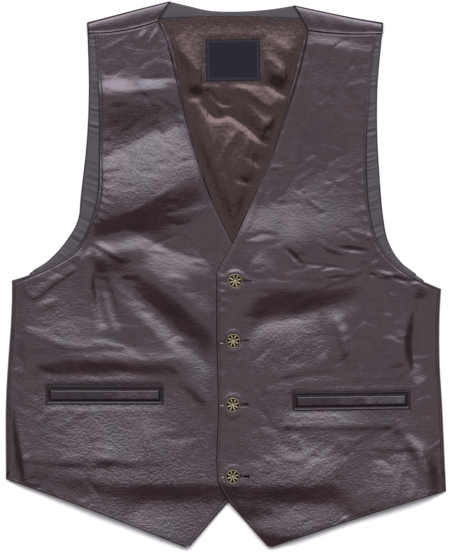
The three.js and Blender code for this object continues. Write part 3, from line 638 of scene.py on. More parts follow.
# Distance to the nearest finished edge of a front, and to its shoulder seam.
def edgeDistances(side, x, y):
    s = seam[side]
    finished = [s["neck"][::2], s["edge"][::2], s["point"][::40], s["hem"], s["arm"][::2], s["side"][::8]]
    return [nearest(path, x, y)[0] for path in finished], nearest(s["shoulder"][::8], x, y)[0]


stitching = {"fromEdge": 3.7, "groove": 0.38, "width": 0.75, "length": 2.7, "pitch": 3.3, "thickness": 0.34}
sideRoll = 2.8  # radius of the rolled side


def frontPiece(side):
    plan = frontPlan(side)
    x, y = plan[..., 0], plan[..., 1]
    under = frontUnderside(x, y, ridges(smallFolds[side], x, y))
    if side == "left":
        under = under + lapLift(x, y)
    (neck, edge, point, hem, arm, sideSeam), shoulder = edgeDistances(side, x, y)
    stitched = np.minimum(np.minimum(neck, edge), np.minimum(np.minimum(point, hem), arm))
    # Each row of stitches pulls a groove, deepest along the front edge and the armhole.
    rows = ((np.minimum(edge, arm), 1), (neck, 0.35), (np.minimum(hem, point), 0.25))
    grooves = [share * np.exp(-(((line - stitching["fromEdge"]) / stitching["width"]) ** 2))
               for line, share in rows]
    groove = ease(sideSeam / 4) * np.maximum.reduce(grooves)
    turned = 0.16 * ease((12 - stitched) / 3.0)  # the turned allowance stands a little proud
    wall = roundedWall(layers["frontWall"], np.minimum(np.minimum(stitched, shoulder), sideSeam))
    thickness = wall - stitching["groove"] * groove * (wall > 1.5) + turned * ease(stitched / 2)
    # The side is a rolled fold: its top stays high to within a few millimetres of the edge.
    rounded = np.sqrt(np.clip(1 - (1 - sideSeam / sideRoll) ** 2, 0.05, 1))
    roll = (layers["frontLift"] + layers["frontWall"]) * rounded
    rolled = np.where((sideSeam < 7) & (y > -246), np.maximum(under + thickness, roll), under + thickness)
    thickness = rolled - under
    # The finished edges are darkened, and the stitch grooves get painted shade: a darker colour where shade
    # falls in them.
    edgeDarkAndGrooveShade = np.maximum(0.75 * np.exp(-((stitched / 0.9) ** 2)), 0.6 * np.clip(groove, 0, 1))
    return clothSheet("front_leather_" + side, plan, under, thickness, grooveDye=edgeDarkAndGrooveShade, crazing=crazing(x, y))


def frontTop(x, y, side):
    under = frontUnderside(x, y, ridges(smallFolds[side], x, y))
    return under + (lapLift(x, y) if side == "left" else 0) + layers["frontWall"]


fronts = {side: frontPiece(side) for side in ("right", "left")}
buttonhole = {"reach": 19, "width": 2.0, "eye": 1.9}


# Cuts the four buttonholes: a round eye for the shank and a slit away from the front edge.
def cutButtonholes(front):
    cutters = []
    bpy.ops.object.select_all(action="DESELECT")
    for x, y in buttonSpots:
        bpy.ops.mesh.primitive_cylinder_add(vertices=20, radius=buttonhole["eye"] * mm, depth=40 * mm,
                                            location=(x * mm, y * mm, 10 * mm))
        cutters.append(bpy.context.active_object)
        middle = x + 1 + buttonhole["reach"] / 2
        bpy.ops.mesh.primitive_cube_add(size=1, location=(middle * mm, y * mm, 10 * mm))
        slit = bpy.context.active_object
        slit.scale = (buttonhole["reach"] * mm, buttonhole["width"] * mm, 38 * mm)
        cutters.append(slit)
    for cutter in cutters:
        selectOnly(cutter)
        bpy.ops.object.transform_apply(location=True, rotation=True, scale=True)
        cut = front.modifiers.new("buttonhole", "BOOLEAN")
        cut.operation, cut.solver, cut.object = "DIFFERENCE", "MANIFOLD", cutter
        selectOnly(front)
        bpy.ops.object.modifier_apply(modifier=cut.name)
    for cutter in cutters:
        bpy.data.objects.remove(cutter)


cutButtonholes(fronts["left"])
print("fronts done")

# The back's outer surface: a flat panel that carries on round both shoulder folds to its seams on the front.
bend = {"radius": 2.9, "steps": 7, "across": 40, "wrapSteps": 16, "sideIn": 5.6}
acrossFold = np.linspace(0, 1, bend["across"] + 1)


def lengthwise(vectors):
    return vectors / np.linalg.norm(vectors, axis=1)[:, None]


def backPlan():
    top = {side: resample(np.array([onCurve(seam[side]["fold"], t) for t in acrossFold]), bend["across"])
           for side in ("right", "left")}
    down = {side: onCurve(seam[side]["shoulder"], acrossFold) - top[side] for side in top}
    below = {side: top[side] + lengthwise(down[side]) * bend["radius"] for side in top}
    neck = smoothCurve(neckline, 40)
    ceiling = np.concatenate([below["right"], neck[1:-1] - [0, 1.0], below["left"][::-1]])
    rows = []
    for t in np.linspace(0, 1, 60):
        right = onCurve(seam["right"]["side"], mix(0.04, 0.9, t)) + [bend["sideIn"], 0]
        left = onCurve(seam["left"]["side"], mix(0.04, 0.9, t)) - [bend["sideIn"], 0]
        rows.append(mix(right, left, np.linspace(0, 1, len(ceiling))[:, None]))
    share = (ceiling[:, 0] - ceiling[0, 0]) / (ceiling[-1, 0] - ceiling[0, 0])
    even = np.linspace(0, 1, len(ceiling))
    for t in np.linspace(0, 1, 90)[1:]:
        right, left = (onCurve(seam[side]["backArm"], mix(0.06, 1, t)) for side in ("right", "left"))
        line = mix(right, left, mix(even, share, ease(t * 1.4))[:, None])
        rows.append(mix(line, ceiling, ease((t - 0.8) / 0.2)))
    return np.array(rows), top, down


# Lines of points round a shoulder fold and down to the seam, where the leather is puffed in short waves.
def wrapLines(top, down):
    unit = lengthwise(down)
    lines = []
    for a in np.linspace(0, math.pi, bend["steps"])[1:]:
        inset, height = bend["radius"] * (1 - math.sin(a)), bend["radius"] * (1 - math.cos(a))
        lines.append(np.concatenate([top + unit * inset, np.full((len(top), 1), height)], axis=1))
    seamTop = layers["frontLift"] + layers["shoulderPuff"] + layers["frontWall"]
    wave = 0.12 * np.sin(acrossFold * 21 + 1.3) * np.sin(acrossFold * 9)
    for t in np.linspace(0, 1, bend["wrapSteps"])[1:]:
        plan = mix(top + unit * bend["radius"], top + down, t)
        puffed = 2 * bend["radius"] + (0.75 + wave) * np.sin(np.pi * min(1, t * 1.02)) ** 0.6
        lines.append(np.concatenate([plan, mix(puffed, seamTop - 0.1, t**5)[:, None]], axis=1))
    return lines


def backPiece():
    plan, top, down = backPlan()
    rows, columns = plan.shape[:2]
    points = [np.concatenate([plan, np.zeros((rows, columns, 1))], axis=2).reshape(-1, 3)]
    faces = gridFaces(rows, columns, 0, True).tolist()
    count = bend["across"] + 1
    first = rows * columns
    for side, start in (("right", 0), ("left", columns - count)):
        order = list(range(count)) if side == "right" else list(range(count))[::-1]
        edge = [(rows - 1) * columns + start + k for k in range(count)]
        for line in wrapLines(top[side], down[side]):
            points.append(line[order])
            here = [first + k for k in range(count)]
            faces += [(edge[k], here[k], here[k + 1], edge[k + 1]) for k in range(count - 1)]
            edge, first = here, first + count
    piece = makePiece("back_leather", (np.concatenate(points) * mm).tolist(), faces)
    selectOnly(piece)
    wall = piece.modifiers.new("leather wall", "SOLIDIFY")
    wall.thickness = layers["leather"] * mm
    wall.offset = -1
    bpy.ops.object.modifier_apply(modifier=wall.name)
    return piece


back = backPiece()
print("back done")


# A strip between two curves on the inside of the back, with small cross puckers.
def stripPiece(name, outer, inner, count, wave, seed):
    rng = np.random.default_rng(seed)
    t, u = np.meshgrid(np.linspace(0, 1, count), np.linspace(0, 1, 15), indexing="ij")
    plan = mix(onCurve(outer, t), onCurve(inner, t), u[..., None])
    places = rng.uniform(0.03, 0.98, 70)
    pulls = sum(rng.uniform(0.4, 1) * np.exp(-(((t - place) / rng.uniform(0.003, 0.007)) ** 2))
                * rng.choice([-0.6, 1]) for place in places)
    bulge = np.sin(np.pi * np.clip(u, 0, 1)) ** 0.5
    thickness = layers["facingWall"] * 0.7 + wave * (1.2 + pulls) * bulge * 0.5
    return clothSheet(name, plan, facingBase + 0 * t, np.clip(thickness, 0.3, 1.5))


facingSize = {"reach": 9, "inset": 0.4, "foot": 0.35, "topY": 303, "lowered": 4}


# The strip runs from just inside the back's armhole to well under the front's edge.
def armholeFacing(side):
    inwards = 1 if side == "right" else -1
    inset, reach = inwards * facingSize["inset"], inwards * facingSize["reach"]

    def fromFoot(path):
        foot = mix(np.array(path[1]), np.array(path[2]), facingSize["foot"])
        return [foot, *path[2:-1], (path[-1][0], facingSize["topY"])]

    outer = [(x + inset, y) for x, y in fromFoot(backArmholes[side])]
    inner = [(x + reach, y - (facingSize["reach"] if k < facingSize["lowered"] else 0))
             for k, (x, y) in enumerate(fromFoot(frontArmholes[side]))]
    seed = 21 if side == "right" else 22
    return stripPiece("armhole_strip_" + side, smoothCurve(outer), smoothCurve(inner), 300, 0.8, seed)


facings = {side: armholeFacing(side) for side in ("right", "left")}
neckTop = smoothCurve([(x, y - 1) for x, y in neckline])
neckFacing = stripPiece("neck_strip", neckTop, smoothCurve(neckFacingFoot), 140, 0.25, 23)


# How far inside the neck opening a place lies.
def insideNeck(x, y):
    right, left = seam["right"]["neck"], seam["left"]["neck"]
    between = (x > np.interp(y, right[:, 1], right[:, 0])) & (x < np.interp(y, left[:, 1], left[:, 0]))
    return np.where(between, toNeckEdge(x, y), 0)


# How far the lining rises under the label, which tips back towards the neck.
def labelRise(y):
    down = (labelSize["y"] + labelSize["height"] / 2 - y) / labelSize["height"]
    return mix(0.5, 1.6, np.clip(down, 0, 1))


# The satin lining is crumpled inside the neck opening, and smooth under the fronts and the label.
def liningUnderside(x, y):
    onLabel, _ = onPlace(labelSize, x, y, labelSize["width"] + 4, labelSize["height"] + 4, 9)
    free = ease((insideNeck(x, y) - 1) / 24) * ease((312 - y) / 40) * (1 - onLabel)
    loose = mix(1.6, 2.4, ease((210 - y) / 50))  # the lining stands off the back more the lower it hangs
    return facingBase + np.maximum(0, ridges(liningFolds, x, y) + loose) * free + labelRise(y) * onLabel


def liningPiece():
    underFront = 16
    edges = {}
    for side, out in (("right", -1), ("left", 1)):
        points = [*neckEdges[side][2:-1], (neckEdges[side][-1][0], 312)]
        edges[side] = smoothCurve([(x + out * (underFront + (10 if k == 0 else 0)), y - (26 if k == 0 else 0))
                                   for k, (x, y) in enumerate(points)])
    v, u = np.meshgrid(np.linspace(0, 1, 190), np.linspace(0, 1, 120), indexing="ij")
    plan = mix(onCurve(edges["right"], v), onCurve(edges["left"], v), u[..., None])
    foot = smoothCurve(neckFacingFoot)
    plan[..., 1] = mix(plan[..., 1], np.interp(plan[..., 0], foot[:, 0], foot[:, 1]) - 0.6, v**8)
    under = liningUnderside(plan[..., 0], plan[..., 1])
    return clothSheet("satin_lining", plan, under, layers["liningWall"] + 0 * v)


lining = liningPiece()


# The grid of a small rectangle: its shares, its millimetres from the middle and the distance to its edge.
def rectangle(size, columns, rows):
    v, u = np.meshgrid(spread(size["height"], rows), spread(size["width"], columns), indexing="ij")
    px, py = (u - 0.5) * size["width"], (v - 0.5) * size["height"]
    toEdge = np.minimum(np.minimum(u, 1 - u) * size["width"], np.minimum(v, 1 - v) * size["height"])
    return u, v, px, py, toEdge


def placed(place, px, py):
    c, s = math.cos(place["turn"]), math.sin(place["turn"])
    return np.stack([place["x"] + c * px - s * py, place["y"] + s * px + c * py], axis=-1)


def labelPiece():
    u, v, px, py, toEdge = rectangle(labelSize, 26, 20)
    plan = placed(labelSize, px, py)
    under = facingBase + layers["liningWall"] + labelRise(plan[..., 1]) + layers["seamGap"]
    curl = 0.5 * np.abs(2 * u - 1) ** 4 * np.sin(v * 5 + 1) ** 2
    border = ease((toEdge - 1.2) / 0.8) * ease((labelSize["border"] - toEdge) / 0.8)
    thickness = layers["labelWall"] + 0.12 * border
    return clothSheet("woven_label", plan, under + curl, thickness, wovenBorder=border)


label = labelPiece()
print("facings, lining and label done")


# A pocket welt: a folded strip, puffed along its middle, with a stitched groove all round.
def weltPiece(side):
    u, v, px, py, toEdge = rectangle(weltSize, 80, 9)
    rng = np.random.default_rng(31 if side == "right" else 32)
    ripple = sum(rng.uniform(-0.35, 0.35)
                 * np.exp(-(((px - rng.uniform(-66, 66)) / rng.uniform(2.5, 7)) ** 2)) for _ in range(16))
    groove = np.exp(-(((toEdge - weltSize["grooveAt"]) / weltSize["grooveWidth"]) ** 2))
    # The body is fullest low down, and more so towards the wearer's left.
    down = ease(((1 - v) * weltSize["height"] - 4) / (weltSize["height"] - 9))
    fullness = weltSize["puff"] * mix(0.75, mix(0.6, 1.4, ease(u)), down)
    swell = (fullness + ripple * mix(0.5, 1.6, down)) * ease((toEdge - 3.8) / 2.4)
    wall = roundedWall(weltSize["wall"], toEdge)
    thickness = wall + swell - weltSize["grooveDepth"] * groove * (toEdge > 1.2)
    # The binding all round and the stitched groove are darkened as painted shade; along the top it stands in
    # for the shadow of the pocket opening.
    edgeDarkAndGrooveShade = np.maximum(ease((weltSize["binding"] - toEdge) / 0.5), groove)
    under = layers["frontLift"] + layers["puff"] + layers["frontWall"] + layers["seamGap"] + 0 * u
    return clothSheet("pocket_welt_" + side + "_leather", placed(welts[side], px, py), under, thickness,
                      grooveDye=edgeDarkAndGrooveShade, crazing=0.4 + 0 * u)


weltPieces = {side: weltPiece(side) for side in ("right", "left")}
print("welts done")


beadSides = 5
beadSteps = ((-0.5, 0.25), (-0.3, 0.9), (0, 1), (0.3, 0.9), (0.5, 0.25))  # places along a bead, and its girth


def evenPlaces(path):
    total = np.linalg.norm(np.diff(path, axis=0), axis=1).sum()
    return np.arange(stitching["pitch"], total - stitching["pitch"], stitching["pitch"]) / total


# Stitches at some shares of a path, or all along it, each a small thread bead half sunk in its groove.
def stitchRow(name, path, top, places=None, size=1, length=stitching["length"]):
    if places is None:
        places = evenPlaces(path)
    centre = onCurve(path, places)
    ahead = onCurve(path, np.minimum(1, places + 0.002)) - onCurve(path, places - 0.002)
    ahead = ahead / np.maximum(1e-9, np.linalg.norm(ahead, axis=1))[:, None]
    heights = top(centre[:, 0], centre[:, 1])
    around = range(beadSides)
    points, faces = [], []
    for (cx, cy), (ux, uy), z in zip(centre, ahead, heights):
        first = len(points)
        for end, girth in beadSteps:
            for k in around:
                a = 2 * math.pi * k / beadSides
                off = stitching["thickness"] * size * girth * math.cos(a)
                up = stitching["thickness"] * size * girth * math.sin(a)
                reach = end * length
                x, y = cx + ux * reach - uy * off, cy + uy * reach + ux * off
                points.append((x * mm, y * mm, (z + up) * mm))
        for ring in range(len(beadSteps) - 1):
            start = first + ring * beadSides
            for k in around:
                a, b = start + k, start + (k + 1) % beadSides
                faces.append((a, b, b + beadSides, a + beadSides))
        last = first + (len(beadSteps) - 1) * beadSides
        faces.append([first + k for k in around][::-1])
        faces.append([last + k for k in around])
    return makePiece(name, points, faces)


# A path moved sideways by a distance, to its left when positive.
def beside(path, distance):
    ahead = np.gradient(path, axis=0)
    ahead = ahead / np.maximum(1e-9, np.linalg.norm(ahead, axis=1))[:, None]
    return resample(path + distance * np.stack([-ahead[:, 1], ahead[:, 0]], axis=1), len(path) * 2)


def grooveTop(side):
    return lambda x, y: frontTop(x, y, side) - stitching["groove"] + 0.12


stitches = []
for side, inwards in (("right", 1), ("left", -1)):
    d = stitching["fromEdge"] * inwards
    top = grooveTop(side)
    stitches.append(stitchRow("neck_stitches_" + side, beside(seam[side]["neck"], d)[4:-4], top))
    stitches.append(stitchRow("edge_stitches_" + side, beside(seam[side]["edge"], d)[6:], top))
    stitches.append(stitchRow("hem_stitches_" + side, beside(seam[side]["hem"], d), top))
    stitches.append(stitchRow("armhole_stitches_" + side, beside(seam[side]["arm"], -d)[10:-4], top))
# Bartacks at the front ends of the lower buttonholes, and under each shoulder seam a row of pale thread that
# paints the highlight of the ridge there.
bartack = {"size": 2.2, "length": 4.8, "rise": 0.3, "ends": [
    ((-8, -85.4), (-3, -85.2)), ((-7.4, -162.6), (-2.4, -162.2)), ((-7.6, -252.4), (-0.6, -250.2)),
]}
shoulderHighlightIn = 2.4


def bartackTop(x, y):
    return frontTop(x, y, "left") + bartack["rise"]


paleThreadAndHighlightRows = []
for k, ends in enumerate(bartack["ends"]):
    path = resample(np.array(ends, float), 12)
    paleThreadAndHighlightRows.append(stitchRow("buttonhole_bartack_" + str(k + 2), path, bartackTop, np.array([0.5]),
                              bartack["size"], bartack["length"]))
for side in ("right", "left"):
    path = beside(seam[side]["shoulder"], shoulderHighlightIn if side == "left" else -shoulderHighlightIn)[8:-8]
    top = (lambda x, y, side=side: frontTop(x, y, side))
    paleThreadAndHighlightRows.append(stitchRow("shoulder_painted_highlight_" + side, path, top))
print("stitches done")


def addNode(tree, kind, settings=None, **links):
    node = tree.nodes.new(kind)
    for key, value in (settings or {}).items():
        setattr(node, key, value)
    for name, value in links.items():
        socket = node.inputs[name] if name in node.inputs else node.inputs[int(name[1:])]
        if isinstance(value, bpy.types.NodeSocket):
            tree.links.new(value, socket)
        else:
            socket.default_value = value
    return node


def colour(code):
    parts = [int(code[k:k + 2], 16) / 255 for k in (0, 2, 4)]
    return (*(p / 12.92 if p <= 0.04045 else ((p + 0.055) / 1.055) ** 2.4 for p in parts), 1)


# A new material, with the settings of its shader.
def newMaterial(name, settings):
    material = bpy.data.materials.new(name)
    material.use_nodes = True
    shader = material.node_tree.nodes["Principled BSDF"]
    for socket, value in settings.items():
        shader.inputs[socket].default_value = value
    return material, material.node_tree, shader


# Nappa lambskin, drum-dyed oxblood brown with a glazed finish: mottled, lightly crazed, with a soft gloss.
def nappaLeather(name="glazed nappa leather", base=("2b161a", "1d0f13", "301c21"), roughness=(0.22, 0.33),
                 specular=0.5):
    material, tree, shader = newMaterial(name, {
        "IOR": 1.5, "Specular IOR Level": specular, "Specular Tint": (0.96, 0.9, 1, 1),
        "Coat Weight": 0.4 * specular, "Coat Roughness": 0.18,
    })
    place = addNode(tree, "ShaderNodeTexCoord").outputs["Object"]
    cloud = addNode(tree, "ShaderNodeTexNoise", Vector=place, Scale=1 / 0.045, Detail=4, Roughness=0.6)
    mottle = addNode(tree, "ShaderNodeTexNoise", Vector=place, Scale=1 / 0.009, Detail=3, Roughness=0.6)
    # Colour: dark and light clouds, paler where it is worn, darker at the edges, and with painted shade in
    # the stitch grooves.
    tone = addNode(tree, "ShaderNodeMapRange", Value=cloud.outputs["Fac"],
                   **{"From Min": 0.35, "From Max": 0.68})
    hue = addNode(tree, "ShaderNodeMix", {"data_type": "RGBA"}, Factor=tone.outputs["Result"],
                  _6=colour(base[1]), _7=colour(base[0]))
    grooves = addNode(tree, "ShaderNodeAttribute", {"attribute_name": "grooveDye"}).outputs["Fac"]
    worn = addNode(tree, "ShaderNodeMapRange", Value=mottle.outputs["Fac"],
                   **{"From Min": 0.5, "From Max": 0.8, "To Max": 0.6})
    skin = addNode(tree, "ShaderNodeMix", {"data_type": "RGBA"}, Factor=worn.outputs["Result"],
                   _6=hue.outputs[2], _7=colour(base[2]))
    darkenedAndShaded = addNode(tree, "ShaderNodeMix", {"data_type": "RGBA"}, Factor=grooves,
                   _6=skin.outputs[2], _7=colour("120b0d"))
    tree.links.new(darkenedAndShaded.outputs[2], shader.inputs["Base Color"])
    # Gloss: uneven, duller where the leather is crazed and in the grooves.
    gloss = addNode(tree, "ShaderNodeMapRange", Value=mottle.outputs["Fac"],
                    **{"From Min": 0.3, "From Max": 0.7, "To Min": roughness[0], "To Max": roughness[1]})
    worked = addNode(tree, "ShaderNodeAttribute", {"attribute_name": "crazing"}).outputs["Fac"]
    share = addNode(tree, "ShaderNodeMath", {"operation": "MULTIPLY_ADD"}, _0=worked, _1=0.4, _2=0.66)
    handled = addNode(tree, "ShaderNodeMath", {"operation": "MULTIPLY"}, _0=gloss.outputs["Result"],
                      _1=share.outputs[0])
    dull = addNode(tree, "ShaderNodeMix", {"data_type": "FLOAT"}, _0=grooves, _2=handled.outputs[0], _3=0.6)
    tree.links.new(dull.outputs[0], shader.inputs["Roughness"])
    # Pebbled grain of about 2 mm, drawn coarser than real nappa so that it shows.
    grain = addNode(tree, "ShaderNodeTexVoronoi", {"feature": "SMOOTH_F1"}, Vector=place, Scale=1 / 0.0022)
    # Fine crazing: the cell edges of a stretched and warped pattern, about 8 by 4 mm.
    warp = addNode(tree, "ShaderNodeTexNoise", Vector=place, Scale=1 / 0.02, Detail=3)
    moved = addNode(tree, "ShaderNodeVectorMath", {"operation": "MULTIPLY_ADD"}, _0=warp.outputs["Color"],
                    _1=(0.012, 0.012, 0), _2=place)
    squeezed = addNode(tree, "ShaderNodeVectorMath", {"operation": "MULTIPLY"}, _0=moved.outputs["Vector"],
                       _1=(0.55, 1, 1))
    crackle = addNode(tree, "ShaderNodeTexVoronoi", {"feature": "DISTANCE_TO_EDGE"},
                      Vector=squeezed.outputs["Vector"], Scale=1 / 0.0042)
    thin = addNode(tree, "ShaderNodeMapRange", Value=crackle.outputs["Distance"], **{"From Max": 0.18})
    soft = addNode(tree, "ShaderNodeTexNoise", Vector=place, Scale=1 / 0.0036, Detail=4, Roughness=0.6)
    softStrength = addNode(tree, "ShaderNodeMath", {"operation": "MULTIPLY_ADD"}, _0=worked, _1=0.42, _2=0.08)
    grainBump = addNode(tree, "ShaderNodeBump", Strength=0.14, Distance=0.0006,
                        Height=grain.outputs["Distance"])
    softBump = addNode(tree, "ShaderNodeBump", Strength=softStrength.outputs[0], Distance=0.001,
                       Height=soft.outputs["Fac"], Normal=grainBump.outputs["Normal"])
    crackStrength = addNode(tree, "ShaderNodeMath", {"operation": "MULTIPLY"}, _0=worked, _1=0.2)
    crackBump = addNode(tree, "ShaderNodeBump", Strength=crackStrength.outputs[0], Distance=0.0009,
                        Height=thin.outputs["Result"], Normal=softBump.outputs["Normal"])
    tree.links.new(crackBump.outputs["Normal"], shader.inputs["Normal"])
    return material


# Polyester satin lining, tobacco brown. Its long floats reflect in their own brown, so slopes turned to the
# light are bright and the others nearly black.
def satinLining():
    material, tree, shader = newMaterial("polyester satin", {
        "Roughness": 0.22, "Specular IOR Level": 0.5, "Specular Tint": (1, 0.74, 0.72, 1),
    })
    place = addNode(tree, "ShaderNodeTexCoord").outputs["Object"]
    cloud = addNode(tree, "ShaderNodeTexNoise", Vector=place, Scale=1 / 0.03, Detail=3)
    hue = addNode(tree, "ShaderNodeMix", {"data_type": "RGBA"}, Factor=cloud.outputs["Fac"],
                  _6=colour("150c0d"), _7=colour("211415"))
    tree.links.new(hue.outputs[2], shader.inputs["Base Color"])
    crinkle = addNode(tree, "ShaderNodeTexNoise", Vector=place, Scale=1 / 0.005, Detail=4, Roughness=0.6)
    bump = addNode(tree, "ShaderNodeBump", Strength=0.4, Distance=0.0008, Height=crinkle.outputs["Fac"])
    # Pulls that run down the cloth
    drawn = addNode(tree, "ShaderNodeVectorMath", {"operation": "MULTIPLY"}, _0=place, _1=(1, 0.22, 1))
    pulls = addNode(tree, "ShaderNodeTexNoise", Vector=drawn.outputs["Vector"], Scale=1 / 0.0045, Detail=3)
    pulled = addNode(tree, "ShaderNodeBump", Strength=0.5, Distance=0.0012, Height=pulls.outputs["Fac"],
                     Normal=bump.outputs["Normal"])
    tree.links.new(pulled.outputs["Normal"], shader.inputs["Normal"])
    return material


# Grey cotton twill of the armhole and neck strips: matt and uneven.
def facingCloth():
    material, tree, shader = newMaterial("grey twill facing", {"Roughness": 0.5})
    place = addNode(tree, "ShaderNodeTexCoord").outputs["Object"]
    cloud = addNode(tree, "ShaderNodeTexNoise", Vector=place, Scale=1 / 0.012, Detail=4)
    hue = addNode(tree, "ShaderNodeMix", {"data_type": "RGBA"}, Factor=cloud.outputs["Fac"],
                  _6=colour("1e191f"), _7=colour("39333b"))
    tree.links.new(hue.outputs[2], shader.inputs["Base Color"])
    bump = addNode(tree, "ShaderNodeBump", Strength=0.3, Distance=0.0008, Height=cloud.outputs["Fac"])
    tree.links.new(bump.outputs["Normal"], shader.inputs["Normal"])
    return material


# Damask-woven label ground: near black with a fine rib and a plain border, left bare.
def labelCloth():
    material, tree, shader = newMaterial("woven polyester label",
                                         {"Roughness": 0.7, "Specular IOR Level": 0.25})
    place = addNode(tree, "ShaderNodeTexCoord").outputs["Object"]
    rib = addNode(tree, "ShaderNodeTexWave", {"wave_type": "BANDS", "bands_direction": "Y"}, Vector=place,
                  Scale=1 / 0.0024)
    hue = addNode(tree, "ShaderNodeMix", {"data_type": "RGBA"}, Factor=rib.outputs["Fac"],
                  _6=colour("07080c"), _7=colour("0f1222"))
    border = addNode(tree, "ShaderNodeAttribute", {"attribute_name": "wovenBorder"}).outputs["Fac"]
    framed = addNode(tree, "ShaderNodeMix", {"data_type": "RGBA"}, Factor=border,
                     _6=hue.outputs[2], _7=colour("23252f"))
    tree.links.new(framed.outputs[2], shader.inputs["Base Color"])
    bump = addNode(tree, "ShaderNodeBump", Strength=0.3, Distance=0.0003, Height=rib.outputs["Fac"])
    tree.links.new(bump.outputs["Normal"], shader.inputs["Normal"])
    return material


# Antiqued cast brass: bright where handling polishes it, dark in the recesses.
def antiqueBrass():
    material, tree, shader = newMaterial("antiqued cast brass", {"Metallic": 1, "Roughness": 0.33})
    hollow = addNode(tree, "ShaderNodeAmbientOcclusion", {"samples": 8}, Distance=0.002)
    place = addNode(tree, "ShaderNodeTexCoord").outputs["Object"]
    spots = addNode(tree, "ShaderNodeTexNoise", Vector=place, Scale=1 / 0.002, Detail=3)
    recess = addNode(tree, "ShaderNodeAttribute", {"attribute_name": "recess"}).outputs["Fac"]
    handled = addNode(tree, "ShaderNodeMath", {"operation": "MULTIPLY_ADD"}, _0=spots.outputs["Fac"], _1=0.5,
                      _2=0.45)
    polished = addNode(tree, "ShaderNodeMath", {"operation": "MULTIPLY"}, _0=hollow.outputs["AO"],
                       _1=handled.outputs[0])
    proud = addNode(tree, "ShaderNodeMath", {"operation": "SUBTRACT"}, _0=polished.outputs[0], _1=recess)
    share = addNode(tree, "ShaderNodeMapRange", Value=proud.outputs[0], **{"From Min": 0.3, "From Max": 0.7})
    hue = addNode(tree, "ShaderNodeMix", {"data_type": "RGBA"}, Factor=share.outputs["Result"],
                  _6=colour("0d0a05"), _7=colour("aa9f80"))
    tree.links.new(hue.outputs[2], shader.inputs["Base Color"])
    return material


# Spun polyester thread, a shade lighter than the leather, or paler still; the paler one also paints the
# highlight under the shoulder seams.
def threadCloth(name, dark, light):
    material, tree, shader = newMaterial(name, {"Roughness": 0.6})
    place = addNode(tree, "ShaderNodeTexCoord").outputs["Object"]
    fuzz = addNode(tree, "ShaderNodeTexNoise", Vector=place, Scale=1 / 0.002, Detail=2)
    hue = addNode(tree, "ShaderNodeMix", {"data_type": "RGBA"}, Factor=fuzz.outputs["Fac"],
                  _6=colour(dark), _7=colour(light))
    tree.links.new(hue.outputs[2], shader.inputs["Base Color"])
    return material


# The welts get a darker, less glossy copy of the front leather: painted shade on their bodies.
shadedWeltLeather = nappaLeather("nappa leather of the welts, darker as painted shade", base=("24121a", "160b10", "2b191e"),
                           roughness=(0.24, 0.36), specular=0.3)
leather, satin, facing = nappaLeather(), satinLining(), facingCloth()
woven, brass = labelCloth(), antiqueBrass()
thread = threadCloth("spun polyester thread", "2a2022", "4f4244")
paleThreadAndHighlight = threadCloth("pale polyester thread and painted highlight", "857876", "beb2ae")


# A pierced shank button: back plate, rim, domed boss, petal rays with bulbs at their tips, and shank.
def buttonPiece(number, x, y):
    low, high = (Vector(corner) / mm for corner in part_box("button_" + str(number)))
    size, top = buttonSize, high.z
    plate = top - size["height"]
    parts = []

    # Keeps the primitive that was added last, squashed, and with its share of the dark in the recesses.
    def keep(scale=(1, 1, 1), recess=None):
        part = bpy.context.active_object
        part.scale = scale
        parts.append(part)
        if recess is not None:
            values = [recess] * len(part.data.vertices)
            part.data.attributes.new("recess", "FLOAT", "POINT").data.foreach_set("value", values)

    def at(z, right=0, up=0):
        return ((x + right) * mm, (y + up) * mm, z * mm)

    bpy.ops.object.select_all(action="DESELECT")
    bpy.ops.mesh.primitive_cylinder_add(vertices=48, radius=(size["radius"] - 0.5) * mm,
                                        depth=size["plate"] * mm, location=at(plate + 0.75))
    keep(recess=1.0)
    bpy.ops.mesh.primitive_torus_add(major_radius=(size["radius"] - size["rim"]) * mm,
                                     minor_radius=size["rim"] * mm, major_segments=56, minor_segments=14,
                                     location=at(top - 1.25))
    keep(recess=0.16)
    bpy.ops.mesh.primitive_uv_sphere_add(segments=24, ring_count=12, radius=size["boss"] * mm,
                                         location=at(top - 1.3))
    keep(scale=(1, 1, 0.5))
    for k in range(size["rays"]):
        a = 2 * math.pi * (k + 0.4) / size["rays"]
        c, s = math.cos(a), math.sin(a)
        bpy.ops.mesh.primitive_uv_sphere_add(segments=16, ring_count=8, radius=mm, rotation=(0, 0, a),
                                             location=at(top - 1.35, size["rayAt"] * c, size["rayAt"] * s))
        keep(scale=(3.2, size["rayWidth"], 0.7))
        bpy.ops.mesh.primitive_uv_sphere_add(segments=16, ring_count=8, radius=size["bulb"] * mm,
                                             rotation=(0, 0, a),
                                             location=at(top - 1.3, size["bulbAt"] * c, size["bulbAt"] * s))
        keep(scale=(1.1, 0.95, 0.7))
    shankTop = plate + 0.6
    bpy.ops.mesh.primitive_cylinder_add(vertices=24, radius=size["shank"] * mm, depth=(shankTop - low.z) * mm,
                                        location=at((shankTop + low.z) / 2))
    keep()
    selectOnly(*parts)
    bpy.ops.object.join()
    piece = bpy.context.active_object
    bpy.ops.object.transform_apply(location=True, rotation=True, scale=True)
    piece.name = "shank_button_" + str(number)
    piece.data.name = piece.name
    bpy.ops.object.shade_smooth_by_angle(angle=math.radians(40))
    return piece


buttonPieces = [buttonPiece(k + 1, *spot) for k, spot in enumerate(buttonSpots)]
print("buttons done")


def finishPiece(piece, material, slot, *nodes):
    piece.data.materials.clear()
    piece.data.materials.append(material)
    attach(piece, "root")
    if nodes:
        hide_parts(*nodes)


